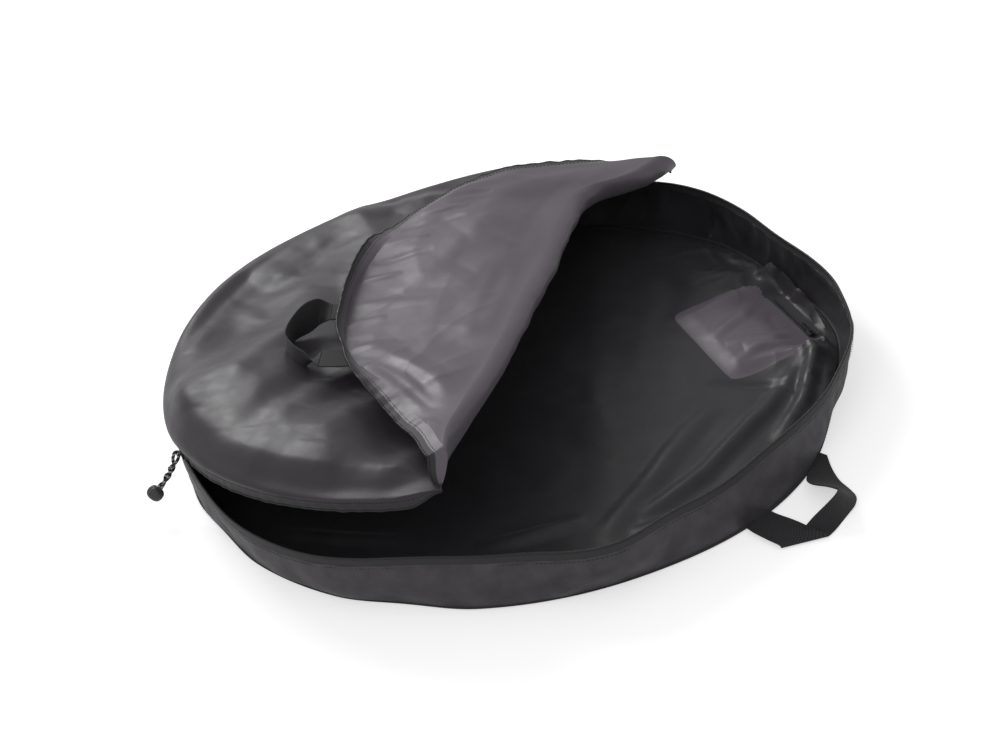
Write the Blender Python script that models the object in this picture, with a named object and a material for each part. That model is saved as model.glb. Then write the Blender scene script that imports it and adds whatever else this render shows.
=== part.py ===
"""Round, flat, soft carrying bag, lying on its base with its zip open.

The front of the lid is folded back over the rest of the lid, inner face up.
Metres, +Z up, origin at the middle of the underside, handles at -Y.
Angles run anticlockwise seen from above, from +X, in degrees.
"""

import math

import bmesh
import bpy
import numpy as np

# Cloth, tape and the space left between neighbouring pieces
CLOTH = 0.0020
TAPE = 0.0012
GAP = 0.0003
HINGE_CLEAR = CLOTH / 2 + GAP

# Base and side wall
BASE_R = 0.390
RIM_FLARE = 0.003
RIM_R = BASE_R + RIM_FLARE
WALL_H = 0.060
BINDING = 0.004
BINDING_LEAN_share = 0.25

# Zip: coils, tapes, slider home and the angles between which it opens
COIL_R = 0.0014
RIM_TAPE_H = 0.0082
LID_TAPE_H = 0.0060
LIP_H = 0.012
COIL_SPREAD = 0.0040
ZIP_START_DEG = 151.0
ZIP_END_DEG = 389.0
STOP_DEG = 0.6
SLIDER_DEG = 152.9
STOP_T = 0.0032

# Lid: a sloping top with a rounded shoulder down to its edge
LID_CROWN = 0.025
SHORT_ROW_share = 0.6
LID_SLOPE_X_share = -0.055
LID_SLOPE_Y_share = -0.025
SHOULDER = 0.045
LID_RAISED = 0.043
LID_DRAWN_IN = 0.024
LID_DIP = 0.021
LID_DIP_DEG = 72.0
LID_DIP_HALF_DEG = 38.0
FREE_EDGE_DEG = 153.0

# Fold: a straight line across the lid, and the strip that turns over there
FOLD_DEG = 20.0
FOLD_OFFSET = -0.083
FOLD_W = 0.035
FOLD_END_STEP = 0.012
FLAP_DROOP_DEG = 2.9

# Flap: its edge is the rim circle, with one tuck where the cloth is gathered
FLAP_LIP_LEAN_DEG = 45.0
FLAP_LIP_START = 0.0015
TUCK = 0.055
TUCK_DEG = 238.0
TUCK_HALF_DEG = 35.0

# Handles: flat webbing, (along the seam, out from it, turned on edge)
WEB_W = 0.038
WEB_T = 0.0016
WEB_CLEAR = GAP / 2
HANDLE_OUT = 0.002
HANDLE_Z = 0.0038
HANDLE_RISE = 0.0162
UPPER_HANDLE_RISE = 0.0055
HANDLE_HALF_SPAN = 0.055
HANDLE_TAB = 0.020
HANDLE_REACH = 0.076
HANDLE_PATH_shares = (
    (-1.00, 0.00, 0.0),
    (-1.03, 0.33, 0.0),
    (-0.91, 0.63, 35.0),
    (-0.45, 0.87, 70.0),
    (0.07, 1.00, 90.0),
    (0.45, 0.89, 75.0),
    (0.73, 0.59, 40.0),
    (0.96, 0.30, 0.0),
    (1.00, 0.00, 0.0),
)

# Slider on the big zip, its crown and its cord pull
SLIDER_L = 0.012
SLIDER_PLATE = 0.0012
SLIDER_CHANNEL = 0.0034
SLIDER_SLOT = 0.0018
SLIDER_POST_L = 0.0040
CROWN_HALF_L = 0.0040
CROWN_OUT = 0.0042
CROWN_WIRE_R = 0.0007
CORD_R = 0.0010
CORD_CLEAR = 0.0005
CORD_L = 0.045
CORD_END_HALF = 0.0013
BEAD_HALF_L = 0.0075
BEAD_R = 0.0052
PULL_LEAN_DEG = 27.0

# Inner pocket on the floor, with its own short zip on the side near the wall
POCKET_DEG = -35.3
POCKET_SKEW_DEG = 7.6
POCKET_FROM_WALL = 0.039
POCKET_ZIP_L = 0.088
POCKET_HALF_L = 0.086
POCKET_DEPTH = 0.125
POCKET_BULGE = 0.012
POCKET_CLOTH = 0.0012
POCKET_TAPE_W = 0.010
POCKET_TAPE_T = 0.0010
POCKET_COIL_R = 0.0012
POCKET_SLIDER_L = 0.009
POCKET_SLIDER_W = 0.0070
POCKET_SLIDER_T = 0.0012
POCKET_CHEEK = 0.0008
POCKET_CROWN_HALF_L = 0.0018
POCKET_CROWN_UP = 0.0028
POCKET_WIRE_R = 0.0005
POCKET_TAB_L = 0.022
POCKET_TAB_W = 0.0042
POCKET_TAB_T = 0.0008
POCKET_EYE_CLEAR = 0.0004
POCKET_EYE_L = 0.0040
POCKET_EYE_BAR = 0.0010

# Steps of the meshes: counts and angles, not lengths
RING_STEP_DEG = 2.5
LID_ROWS = 64
LID_TOP_STEPS = 8
FLAP_ROWS = 48
FLAP_STEPS = 10
RIBBON_STEPS = 48
WIRE_SIDES = 10

# Derived heights
LOWER_COIL_Z = WALL_H + GAP + RIM_TAPE_H + GAP + COIL_R
UPPER_COIL_Z = LOWER_COIL_Z + 2 * COIL_R + COIL_SPREAD
LID_EDGE_Z = UPPER_COIL_Z + COIL_R + GAP + LID_TAPE_H + GAP + LIP_H
FLOOR_Z = CLOTH + GAP
LID_TOP_Z = LID_EDGE_Z + LID_CROWN

COLOURS = {
    "nylon_shell": "#2d2c2f",
    "nylon_lining": "#6f6a70",
    "floor_lining": "#1d1c1f",
    "webbing": "#2a292b",
    "zip_tape": "#4a484b",
    "zip_coil": "#39383a",
    "slider_metal": "#3c3c3f",
    "cord": "#232326",
    "bead_rubber": "#1c1c1d",
    "binding": "#242326",
}


def linear(value):
    """One sRGB channel, 0 to 1, as a linear one."""
    return value / 12.92 if value <= 0.04045 else ((value + 0.055) / 1.055) ** 2.4


def material(name):
    found = bpy.data.materials.get(name)
    if found:
        return found
    made = bpy.data.materials.new(name)
    made.use_nodes = True
    shader = made.node_tree.nodes["Principled BSDF"]
    text = COLOURS[name]
    rgb = [linear(int(text[i : i + 2], 16) / 255) for i in (1, 3, 5)]
    shader.inputs["Base Color"].default_value = (*rgb, 1)
    shader.inputs["Roughness"].default_value = 0.6
    shader.inputs["Metallic"].default_value = 1.0 if name == "slider_metal" else 0.0
    made.diffuse_color = (*rgb, 1)
    return made


def solid(name, points, faces, slot, origin=(0, 0, 0)):
    """A mesh object from points and faces, turned to face out."""
    mesh = bpy.data.meshes.new(name)
    local = np.asarray(points, float) - np.asarray(origin, float)
    mesh.from_pydata(local.tolist(), [], faces)
    work = bmesh.new()
    work.from_mesh(mesh)
    bmesh.ops.recalc_face_normals(work, faces=work.faces)
    work.to_mesh(mesh)
    work.free()
    mesh.materials.append(material(slot))
    made = bpy.data.objects.new(name, mesh)
    made.location = origin
    bpy.context.scene.collection.objects.link(made)
    return made


def swept(name, sections, slot, origin=(0, 0, 0), ring=False):
    """A solid through equal closed sections, capped unless it is a ring."""
    sections = np.asarray(sections, float)
    count, sides = sections.shape[:2]
    faces = []
    for i in range(count if ring else count - 1):
        here = i * sides
        there = (i + 1) % count * sides
        for k in range(sides):
            m = (k + 1) % sides
            faces.append((here + k, here + m, there + m, there + k))
    if not ring:
        faces.append(tuple(range(sides)))
        faces.append(tuple(range((count - 1) * sides, count * sides)))
    return solid(name, sections.reshape(-1, 3), faces, slot, origin)


def sheet(name, upper, lower, slot, origin=(0, 0, 0)):
    """A thin solid between two grids of the same shape."""
    rows, steps = upper.shape[:2]
    points = np.concatenate([upper.reshape(-1, 3), lower.reshape(-1, 3)])
    under = rows * steps
    faces = []
    for i in range(rows - 1):
        for k in range(steps - 1):
            a = i * steps + k
            quad = (a, a + 1, a + steps + 1, a + steps)
            faces.append(quad)
            faces.append(tuple(under + q for q in reversed(quad)))
    border = [k for k in range(steps)]
    border += [i * steps + steps - 1 for i in range(1, rows)]
    border += [(rows - 1) * steps + k for k in range(steps - 2, -1, -1)]
    border += [i * steps for i in range(rows - 2, 0, -1)]
    for a, b in zip(border, border[1:] + border[:1]):
        faces.append((b, a, under + a, under + b))
    return solid(name, points, faces, slot, origin)


def box(name, centre, axes, size, slot, origin=(0, 0, 0)):
    """A box from its middle, three unit directions and three sizes."""
    across, along, up = (np.asarray(a, float) * s / 2 for a, s in zip(axes, size))
    ends = []
    for end in (-1, 1):
        middle = np.asarray(centre, float) + end * along
        corners = ((-1, -1), (1, -1), (1, 1), (-1, 1))
        ends.append([middle + i * across + k * up for i, k in corners])
    return swept(name, ends, slot, origin)


def helper(made):
    """Marks an object as a helper: not drawn, not a piece."""
    made.hide_render = True
    made.display_type = "WIRE"
    return made


def boolean(target, other, operation):
    cut = target.modifiers.new(other.name, "BOOLEAN")
    cut.object = helper(other)
    cut.operation = operation
    cut.solver = "EXACT"


def unit(vector):
    vector = np.asarray(vector, float)
    return vector / np.linalg.norm(vector, axis=-1, keepdims=True)


def polar(radius, degrees, z=0.0):
    turn = np.radians(degrees)
    x = radius * np.cos(turn)
    y = radius * np.sin(turn)
    return np.stack(np.broadcast_arrays(x, y, z), axis=-1).astype(float)


def bell(offset, half_width):
    """1 at the middle, falling as a cosine to 0 at the half width."""
    inside = np.clip(np.abs(offset) / half_width, 0, 1)
    return (1 + np.cos(np.pi * inside)) / 2


def degrees_between(first, last):
    count = max(2, int(round((last - first) / RING_STEP_DEG)) + 1)
    return np.linspace(first, last, count)


def zip_degrees(first, last):
    """The same steps for a tape and its coil, which ends short at a stop."""
    tape = degrees_between(first, last)
    coil = tape
    if first == ZIP_START_DEG:
        coil = degrees_between(first + STOP_DEG, last)
        tape = np.concatenate([[first], coil])
    if last % 360 == ZIP_END_DEG % 360:
        coil = np.append(coil[coil < last - 2 * STOP_DEG], last - STOP_DEG)
        tape = np.append(tape[tape < last - 2 * STOP_DEG], [last - STOP_DEG, last])
    return tape, coil


def tube(name, path, radius, slot, origin=(0, 0, 0), sides=WIRE_SIDES, ring=False):
    """A round solid of one radius along a path."""
    path = np.asarray(path, float)
    ahead = unit(np.gradient(path, axis=0))
    flat = path - path.mean(axis=0)
    across = unit(np.linalg.svd(flat)[2][-1])
    side = unit(np.cross(ahead, across))
    up = np.cross(side, ahead)
    turns = np.arange(sides) * 2 * np.pi / sides
    around = np.cos(turns)[None, :, None] * side[:, None]
    around = around + np.sin(turns)[None, :, None] * up[:, None]
    return swept(name, path[:, None] + radius * around, slot, origin, ring)


def band(name, degrees, radius, bottom, top, thickness, slot):
    """An upright strip on the rim: radius, bottom and top may vary along it."""
    inner = radius - thickness / 2
    outer = radius + thickness / 2
    corners = ((inner, bottom), (outer, bottom), (outer, top), (inner, top))
    sections = np.stack([polar(r, degrees, z) for r, z in corners], axis=1)
    return swept(name, sections, slot)


# Where the lid's surface and its edge run


def lid_plane(x, y):
    return LID_TOP_Z + LID_SLOPE_X_share * x + LID_SLOPE_Y_share * y


def free_share(degrees):
    """0 where the left free edge leaves the zip, 1 at the fold."""
    return np.clip((degrees - FREE_EDGE_DEG) / (FOLD_LEFT_DEG - FREE_EDGE_DEG), 0, 1)


def lid_edge_radius(degrees):
    return RIM_R - LID_DRAWN_IN * free_share(degrees) ** 3


def lid_edge_height(degrees):
    raised = LID_RAISED * np.sin(np.pi / 2 * free_share(degrees))
    return LID_EDGE_Z + raised - LID_DIP * bell(degrees - LID_DIP_DEG, LID_DIP_HALF_DEG)


def lid_height(x, y):
    """Top plane, falling over the shoulder as a quarter ellipse to the edge."""
    degrees = (np.degrees(np.arctan2(y, x)) + 90) % 360 - 90
    inward = lid_edge_radius(degrees) - np.hypot(x, y)
    share = np.clip(inward / SHOULDER, 0, 1)
    edge = lid_edge_height(degrees) + HINGE_CLEAR
    return edge + (lid_plane(x, y) - edge) * np.sqrt(1 - (1 - share) ** 2)


# The fold line and the frames of the two hinges on it

FOLD_TURN = math.radians(FOLD_DEG)
ALONG_FLAT = np.array([math.cos(FOLD_TURN), math.sin(FOLD_TURN), 0])
BACK = np.array([-math.sin(FOLD_TURN), math.cos(FOLD_TURN), 0])
FOLD_SLOPE_share = (
    LID_SLOPE_X_share * ALONG_FLAT[0] + LID_SLOPE_Y_share * ALONG_FLAT[1]
)
ALONG = unit(ALONG_FLAT + np.array([0, 0, FOLD_SLOPE_share]))
RISE = np.cross(ALONG, BACK)
FOLD_FOOT = FOLD_OFFSET * BACK
FOLD_FOOT = FOLD_FOOT + [0, 0, lid_plane(FOLD_FOOT[0], FOLD_FOOT[1])]
STRIP_TOP = FOLD_FOOT + FOLD_W * RISE
DROOP = math.radians(FLAP_DROOP_DEG)
OVER = math.cos(DROOP) * BACK - math.sin(DROOP) * RISE
INNER_UP = np.cross(ALONG, OVER)


def fold_reach(radius, offset):
    """Half the chord that the fold line cuts from a circle."""
    return math.sqrt(radius**2 - offset**2)


def fold_angle(radius, offset, side):
    along = side * fold_reach(radius, offset)
    return FOLD_DEG + math.degrees(math.atan2(offset, along))


LID_STOP = FOLD_OFFSET + HINGE_CLEAR
FOLD_LEFT_DEG = fold_angle(RIM_R - LID_DRAWN_IN, LID_STOP, -1) % 360
FOLD_RIGHT_DEG = fold_angle(RIM_R, LID_STOP, 1)


def build_base():
    around = np.arange(0, 360, RING_STEP_DEG)
    inside_r = BASE_R - CLOTH - GAP
    rings = [polar(inside_r, around, z) for z in (0.0, CLOTH)]
    count = len(around)
    faces = [tuple(range(count)), tuple(range(count, 2 * count))]
    for i in range(count):
        k = (i + 1) % count
        faces.append((i, k, count + k, count + i))
    solid("base_panel", np.concatenate(rings), faces, "floor_lining")

    profile = (
        (BASE_R - CLOTH, 0.0),
        (BASE_R, 0.0),
        (RIM_R + CLOTH / 2, WALL_H),
        (RIM_R - CLOTH / 2, WALL_H),
    )
    sections = np.stack([polar(r, around, z) for r, z in profile], axis=1)
    swept("base_wall", sections, "nylon_shell", ring=True)

    low = FLOOR_Z
    lean = BINDING * BINDING_LEAN_share
    profile = (
        (inside_r - BINDING, low),
        (inside_r, low),
        (inside_r, low + BINDING),
        (inside_r - lean, low + BINDING),
        (inside_r - BINDING, low + lean),
    )
    sections = np.stack([polar(r, around, z) for r, z in profile], axis=1)
    swept("base_seam", sections, "binding", ring=True)


def build_rim_zip():
    tape, coil = zip_degrees(ZIP_START_DEG, ZIP_END_DEG)
    low = WALL_H + GAP
    band("rim_tape", tape, RIM_R, low, low + RIM_TAPE_H, TAPE, "zip_tape")
    tube("lower_coil", polar(RIM_R, coil, LOWER_COIL_Z), COIL_R, "zip_coil")

    bottom = LOWER_COIL_Z - COIL_R
    top = UPPER_COIL_Z + COIL_R
    length = math.radians(STOP_DEG) * RIM_R - 2 * GAP
    for name, degrees in (
        ("end_stop_left", ZIP_START_DEG + STOP_DEG / 2),
        ("end_stop_right", ZIP_END_DEG - STOP_DEG / 2),
    ):
        centre = polar(RIM_R, degrees, (bottom + top) / 2)
        axes = (polar(1, degrees), polar(1, degrees + 90), (0, 0, 1))
        box(name, centre, axes, (STOP_T, length, top - bottom), "zip_coil")


def build_back_gusset():
    space = math.degrees(GAP / RIM_R)
    around = degrees_between(ZIP_END_DEG - 360 + space, ZIP_START_DEG - space)
    top = lid_edge_height(around) - LIP_H - GAP
    band("back_gusset", around, RIM_R, WALL_H + GAP, top, CLOTH, "nylon_shell")


def lid_rows():
    """Points of the lid's middle surface, from its edge to the fold."""
    around = np.linspace(FOLD_RIGHT_DEG, FOLD_LEFT_DEG, LID_ROWS)
    edge = polar(lid_edge_radius(around), around)[:, :2]
    right = edge[0] @ ALONG_FLAT[:2] - FOLD_END_STEP
    left = edge[-1] @ ALONG_FLAT[:2] + FOLD_END_STEP
    share = (1 - np.cos(np.linspace(0, np.pi, LID_ROWS))) / 2
    along = right + (left - right) * share
    fold = along[:, None] * ALONG_FLAT[:2] + LID_STOP * BACK[:2]
    length = np.linalg.norm(fold - edge, axis=1)
    shoulder = np.minimum(SHOULDER / length, SHORT_ROW_share)
    curve = 1 - np.cos(np.radians(np.arange(0, 91, 15)))
    flat = np.linspace(0, 1, LID_TOP_STEPS + 1)[1:]
    steps = [
        np.concatenate([s * curve, s + (1 - s) * flat])
        for s in shoulder
    ]
    steps = np.array(steps)[:, :, None]
    ground = edge[:, None] + (fold - edge)[:, None] * steps
    height = lid_height(ground[..., 0], ground[..., 1])
    return np.concatenate([ground, height[..., None]], axis=2)


def grid_normals(grid):
    """Unit normals of a grid of points, pointing up where it is level."""
    normal = np.cross(np.gradient(grid, axis=1), np.gradient(grid, axis=0))
    normal = unit(normal)
    flip = np.sign(normal[:, -1:, 2:])
    return normal * flip


def build_lid():
    grid = lid_rows()
    out = grid_normals(grid) * CLOTH / 2
    sheet("lid_panel", grid + out, grid - out, "nylon_shell")

    right, _ = zip_degrees(FOLD_RIGHT_DEG, ZIP_END_DEG - 360)
    left, _ = zip_degrees(ZIP_START_DEG, FOLD_LEFT_DEG)
    sewn = degrees_between(right[-1], left[0])[1:-1]
    around = np.concatenate([right, sewn, left])
    radius = lid_edge_radius(around)
    top = lid_edge_height(around)
    band("lid_lip", around, radius, top - LIP_H, top, CLOTH, "nylon_shell")

    for side, first, last in (
        ("left", ZIP_START_DEG, FOLD_LEFT_DEG),
        ("right", FOLD_RIGHT_DEG, ZIP_END_DEG - 360),
    ):
        tape, coil = zip_degrees(first, last)
        top = lid_edge_height(tape) - LIP_H - GAP
        radius = lid_edge_radius(tape)
        name = "lid_tape_" + side
        band(name, tape, radius, top - LID_TAPE_H, top, TAPE, "zip_tape")
        below = LIP_H + LID_TAPE_H + 2 * GAP + COIL_R
        path = polar(lid_edge_radius(coil), coil, lid_edge_height(coil) - below)
        tube("lid_coil_" + side, path, COIL_R, "zip_coil")


def on_flap(along, over, inner=0.0):
    """A point of the flap: along the fold, over from it, to its inner side."""
    along, over, inner = (np.asarray(v, float)[..., None] for v in (along, over, inner))
    rise = along / ALONG[:2].dot(ALONG_FLAT[:2])
    return STRIP_TOP + rise * ALONG + over * OVER + inner * INNER_UP


def flap_place(x, y):
    """Where a point of the closed lid lies on the flap: along, over."""
    along = x * ALONG_FLAT[0] + y * ALONG_FLAT[1]
    over = FOLD_OFFSET - FOLD_W - (x * BACK[0] + y * BACK[1])
    return along, over


def flap_outline():
    """The flap panel's edge, along and over, with its outward direction."""
    lean = math.radians(FLAP_LIP_LEAN_DEG)
    strip = LID_TAPE_H + LIP_H + FLAP_LIP_START + 2 * GAP + COIL_R
    radius = RIM_R - strip * math.cos(lean)
    edge = FOLD_OFFSET - FOLD_W - HINGE_CLEAR
    first = fold_angle(radius, edge, -1) % 360
    last = fold_angle(radius, edge, 1) + 360
    around = np.linspace(first, last, FLAP_ROWS)
    tucked = radius - TUCK * bell(around - TUCK_DEG, TUCK_HALF_DEG)
    x, y = polar(tucked, around)[:, :2].T
    along, over = flap_place(x, y)
    over = np.maximum(over, HINGE_CLEAR)
    ahead = unit(np.stack([np.gradient(along), np.gradient(over)], axis=1))
    outward = np.stack([-ahead[:, 1], ahead[:, 0]], axis=1)
    return along, over, outward


def build_fold():
    """The strip that stands between lid and flap, on the first fold hinge."""
    low = HINGE_CLEAR
    high = FOLD_W - HINGE_CLEAR
    along, _, _ = flap_outline()
    bottom = np.linspace(-fold_reach(RIM_R - LID_DRAWN_IN, FOLD_OFFSET),
                         fold_reach(RIM_R, FOLD_OFFSET), FLAP_ROWS)
    top = np.linspace(along[0], along[-1], FLAP_ROWS)
    share = np.linspace(0, 1, 3)
    run = bottom[:, None] * (1 - share) + top[:, None] * share
    height = low + (high - low) * share
    middle = FOLD_FOOT + run[..., None] * ALONG + height[None, :, None] * RISE
    half = BACK * CLOTH / 2
    sheet("fold_strip", middle + half, middle - half, "nylon_lining", FOLD_FOOT)


def flap_edge_strip(name, first, last, thickness, slot):
    """A strip of the flap's edge, leaning to the inner side."""
    along, over, outward = flap_outline()
    lean = math.radians(FLAP_LIP_LEAN_DEG)
    half = thickness / 2
    corners = ((first, -half), (last, -half), (last, half), (first, half))
    sections = []
    for reach, side in corners:
        out = reach * math.cos(lean) - side * math.sin(lean)
        inner = reach * math.sin(lean) + side * math.cos(lean)
        a = along + out * outward[:, 0]
        b = over + out * outward[:, 1]
        sections.append(on_flap(a, b, inner))
    swept(name, np.stack(sections, axis=1), slot, STRIP_TOP)


def build_flap():
    along, over, outward = flap_outline()
    share = (1 - np.cos(np.linspace(0, np.pi, FLAP_ROWS))) / 2
    left = along[0] + FOLD_END_STEP
    right = along[-1] - FOLD_END_STEP
    root = left + (right - left) * share
    steps = np.linspace(0, 1, FLAP_STEPS + 1)
    a = along[:, None] + (root - along)[:, None] * steps
    b = over[:, None] + (HINGE_CLEAR - over)[:, None] * steps
    upper = on_flap(a, b, CLOTH / 2)
    lower = on_flap(a, b, -CLOTH / 2)
    sheet("flap_panel", upper, lower, "nylon_lining", STRIP_TOP)

    lip_end = FLAP_LIP_START + LIP_H
    tape_end = lip_end + GAP + LID_TAPE_H
    flap_edge_strip("flap_lip", FLAP_LIP_START, lip_end, CLOTH, "nylon_lining")
    flap_edge_strip("flap_tape", lip_end + GAP, tape_end, TAPE, "zip_tape")
    lean = math.radians(FLAP_LIP_LEAN_DEG)
    reach = tape_end + GAP + COIL_R
    a = along + reach * math.cos(lean) * outward[:, 0]
    b = over + reach * math.cos(lean) * outward[:, 1]
    path = on_flap(a, b, reach * math.sin(lean))
    tube("flap_coil", path, COIL_R, "zip_coil", STRIP_TOP)


def smooth_path(points, count):
    """Points on a curve through the given ones (Catmull-Rom)."""
    points = np.asarray(points, float)
    ends = np.concatenate([[2 * points[0] - points[1]], points])
    ends = np.concatenate([ends, [2 * points[-1] - points[-2]]])
    places = np.linspace(0, len(points) - 1, count)
    k = np.minimum(places.astype(int), len(points) - 2)
    u = (places - k)[:, None]
    p0, p1, p2, p3 = (ends[k + i] for i in range(4))
    curve = 2 * p1 + (p2 - p0) * u + (2 * p0 - 5 * p1 + 4 * p2 - p3) * u**2
    return (curve + (3 * p1 - p0 - 3 * p2 + p3) * u**3) / 2


def ribbon(name, origin, axes, rise):
    """A webbing loop that leaves the seam flat and stands on edge far out.

    The origin lies on the hinge, level with the webbing's upper face.
    """
    side, out, up = axes
    scale = np.array([HANDLE_HALF_SPAN, HANDLE_REACH, 1])
    path = smooth_path(np.array(HANDLE_PATH_shares) * scale, RIBBON_STEPS)
    path[:, 1] = path[:, 1] + WEB_CLEAR
    turn = np.radians(np.clip(path[:, 2], 0, 90))
    ahead = unit(np.gradient(path[:, :2], axis=0))
    ahead[0] = (0, 1)
    ahead[-1] = (0, -1)
    along = ahead[:, :1] * side + ahead[:, 1:] * out
    across = ahead[:, 1:] * side - ahead[:, :1] * out
    wide = np.cos(turn)[:, None] * across + np.sin(turn)[:, None] * up
    thick = unit(np.cross(along, wide))
    middle = origin - WEB_T / 2 * up + path[:, :1] * side + path[:, 1:2] * out
    middle = middle + rise * np.sin(turn)[:, None] * up
    corners = ((-1, -1), (1, -1), (1, 1), (-1, 1))
    sections = [
        middle + i * WEB_W / 2 * wide + k * WEB_T / 2 * thick for i, k in corners
    ]
    return swept(name, np.stack(sections, axis=1), "webbing", origin)


def seam_tab(name, origin, axes, middle, depth_at):
    """A flat webbing end, from its depth behind the handle's axis up to it."""
    side, out, up = axes
    across = middle + np.linspace(-WEB_W / 2, WEB_W / 2, 9)
    front = -WEB_CLEAR
    sections = []
    for x in across:
        back = depth_at(x)
        corners = ((back, -WEB_T), (front, -WEB_T), (front, 0), (back, 0))
        section = [origin + x * side + y * out + z * up for y, z in corners]
        sections.append(section)
    return swept(name, sections, "webbing")


def build_lower_handle():
    top = HANDLE_Z + WEB_T / 2
    origin = np.array([0, -BASE_R - HANDLE_OUT, top])
    axes = np.array([[1.0, 0, 0], [0, -1.0, 0], [0, 0, 1.0]])
    ribbon("handle_lower", origin, axes, HANDLE_RISE)
    wall = BASE_R + (RIM_R + CLOTH / 2 - BASE_R) * top / WALL_H + GAP

    def depth_at(x):
        return math.sqrt(wall**2 - x**2) - BASE_R - HANDLE_OUT

    for side, middle in (("left", -HANDLE_HALF_SPAN), ("right", HANDLE_HALF_SPAN)):
        seam_tab("handle_lower_tab_" + side, origin, axes, middle, depth_at)


def build_upper_handle():
    """The same handle on the flap's outer face, over the seam of its lip."""
    along, over = flap_place(0.0, -upper_handle_radius())
    origin = on_flap(along, over, -CLOTH / 2 - GAP)
    cos, sin = math.cos(FOLD_TURN), math.sin(FOLD_TURN)
    side = cos * ALONG + sin * OVER
    out = cos * OVER - sin * ALONG
    axes = np.array([side, out, INNER_UP])
    ribbon("handle_upper", origin, axes, UPPER_HANDLE_RISE)

    def depth_at(x):
        return -HANDLE_TAB

    for end, middle in (("left", -HANDLE_HALF_SPAN), ("right", HANDLE_HALF_SPAN)):
        name = "handle_upper_tab_" + end
        made = seam_tab(name, origin, axes, middle, depth_at)
        move_origin(made, STRIP_TOP)


def upper_handle_radius():
    strip = LID_TAPE_H + LIP_H + FLAP_LIP_START + 2 * GAP + COIL_R
    edge = RIM_R - strip * math.cos(math.radians(FLAP_LIP_LEAN_DEG))
    return edge + HANDLE_OUT


def move_origin(made, origin):
    """Puts an object's origin on a joint axis and leaves its shape in place."""
    shift = np.asarray(origin, float) - np.array(made.location)
    size = len(made.data.vertices) * 3
    points = np.empty(size)
    made.data.vertices.foreach_get("co", points)
    points = (points.reshape(-1, 3) - shift).ravel()
    made.data.vertices.foreach_set("co", points)
    made.location = origin


def wire_loop(half_length, out):
    """A squared arch: half its length, and how far it stands out."""
    corner = out / 3
    points = [(-half_length, -corner / 2)]
    for first, turn in ((180, -1), (90, -1)):
        centre_x = -(half_length - corner) if first == 180 else half_length - corner
        for step in range(7):
            angle = math.radians(first + turn * 15 * step)
            x = centre_x + corner * math.cos(angle)
            y = out - corner + corner * math.sin(angle)
            points.append((x, y))
    points.append((half_length, -corner / 2))
    return points


def build_slider():
    """Two plates on a post, open above, with a slot for the tape below."""
    out = polar(1, SLIDER_DEG)
    ahead = polar(1, SLIDER_DEG + 90)
    up = np.array([0, 0, 1.0])
    axes = (out, ahead, up)
    width = SLIDER_CHANNEL + 2 * SLIDER_PLATE
    tape_top = LOWER_COIL_Z - COIL_R - GAP
    bottom = tape_top - SLIDER_PLATE - GAP
    inside = tape_top - GAP
    top = UPPER_COIL_Z + COIL_R + 2 * GAP
    post_low = LOWER_COIL_Z + COIL_R + GAP
    post_high = UPPER_COIL_Z - COIL_R - GAP
    home = polar(RIM_R, SLIDER_DEG)

    def block(name, low, high, wide, long):
        centre = home + (low + high) / 2 * up
        return box(name, centre, axes, (wide, long, high - low), "slider_metal")

    body = block("zip_slider", bottom, top, width, SLIDER_L)
    past = top + SLIDER_PLATE
    below = bottom - SLIDER_PLATE
    long = 2 * SLIDER_L
    boolean(body, block("channel_cut", inside, past, SLIDER_CHANNEL, long), "DIFFERENCE")
    boolean(body, block("slot_cut", below, post_low, SLIDER_SLOT, long), "DIFFERENCE")
    post_wide = SLIDER_CHANNEL + SLIDER_PLATE
    post = block("post_add", post_low, post_high, post_wide, SLIDER_POST_L)
    boolean(body, post, "UNION")

    crown_z = (bottom + top) / 2
    face = home + width / 2 * out + crown_z * up
    path = [face + x * ahead + y * out for x, y in wire_loop(CROWN_HALF_L, CROWN_OUT)]
    wire = tube("crown_add", path, CROWN_WIRE_R, "slider_metal")
    boolean(body, wire, "UNION")
    return face + CROWN_OUT * out, out


def build_pull(bar, out):
    """A cord doubled over the crown, both ends in a moulded bead."""
    lean = math.radians(PULL_LEAN_DEG)
    up = np.array([0, 0, 1.0])
    down = math.sin(lean) * out - math.cos(lean) * up
    side = math.cos(lean) * out + math.sin(lean) * up
    around = CROWN_WIRE_R + CORD_CLEAR + CORD_R
    path = [bar + CORD_L * down - CORD_END_HALF * side]
    path.append(bar + CORD_L / 2 * down - (CORD_END_HALF + around) / 2 * side)
    for turn in np.radians(np.arange(0, 181, 20)):
        path.append(bar - around * (math.cos(turn) * side + math.sin(turn) * down))
    path.append(bar + CORD_L / 2 * down + (CORD_END_HALF + around) / 2 * side)
    path.append(bar + CORD_L * down + CORD_END_HALF * side)
    tube("pull_cord", path, CORD_R, "cord", bar)

    centre = bar + (CORD_L + GAP + BEAD_HALF_L) * down
    across = np.cross(down, side)
    turns = np.arange(16) * math.tau / 16
    rings = []
    for angle in np.radians(np.linspace(-84, 84, 13)):
        middle = centre + BEAD_HALF_L * math.sin(angle) * down
        radius = BEAD_R * math.cos(angle)
        ring = [
            middle + radius * (math.cos(t) * side + math.sin(t) * across) for t in turns
        ]
        rings.append(ring)
    swept("pull_bead", rings, "bead_rubber", bar)


def pocket_frame():
    """Both ends of the pocket's zip, its direction and the way to the middle."""
    middle = polar(BASE_R - POCKET_FROM_WALL, POCKET_DEG)
    inward = -polar(1, POCKET_DEG + POCKET_SKEW_DEG)
    ahead = np.array([-inward[1], inward[0], 0.0])
    start = middle - POCKET_ZIP_L / 2 * ahead
    end = middle + POCKET_ZIP_L / 2 * ahead
    return start, end, ahead, inward


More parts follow.
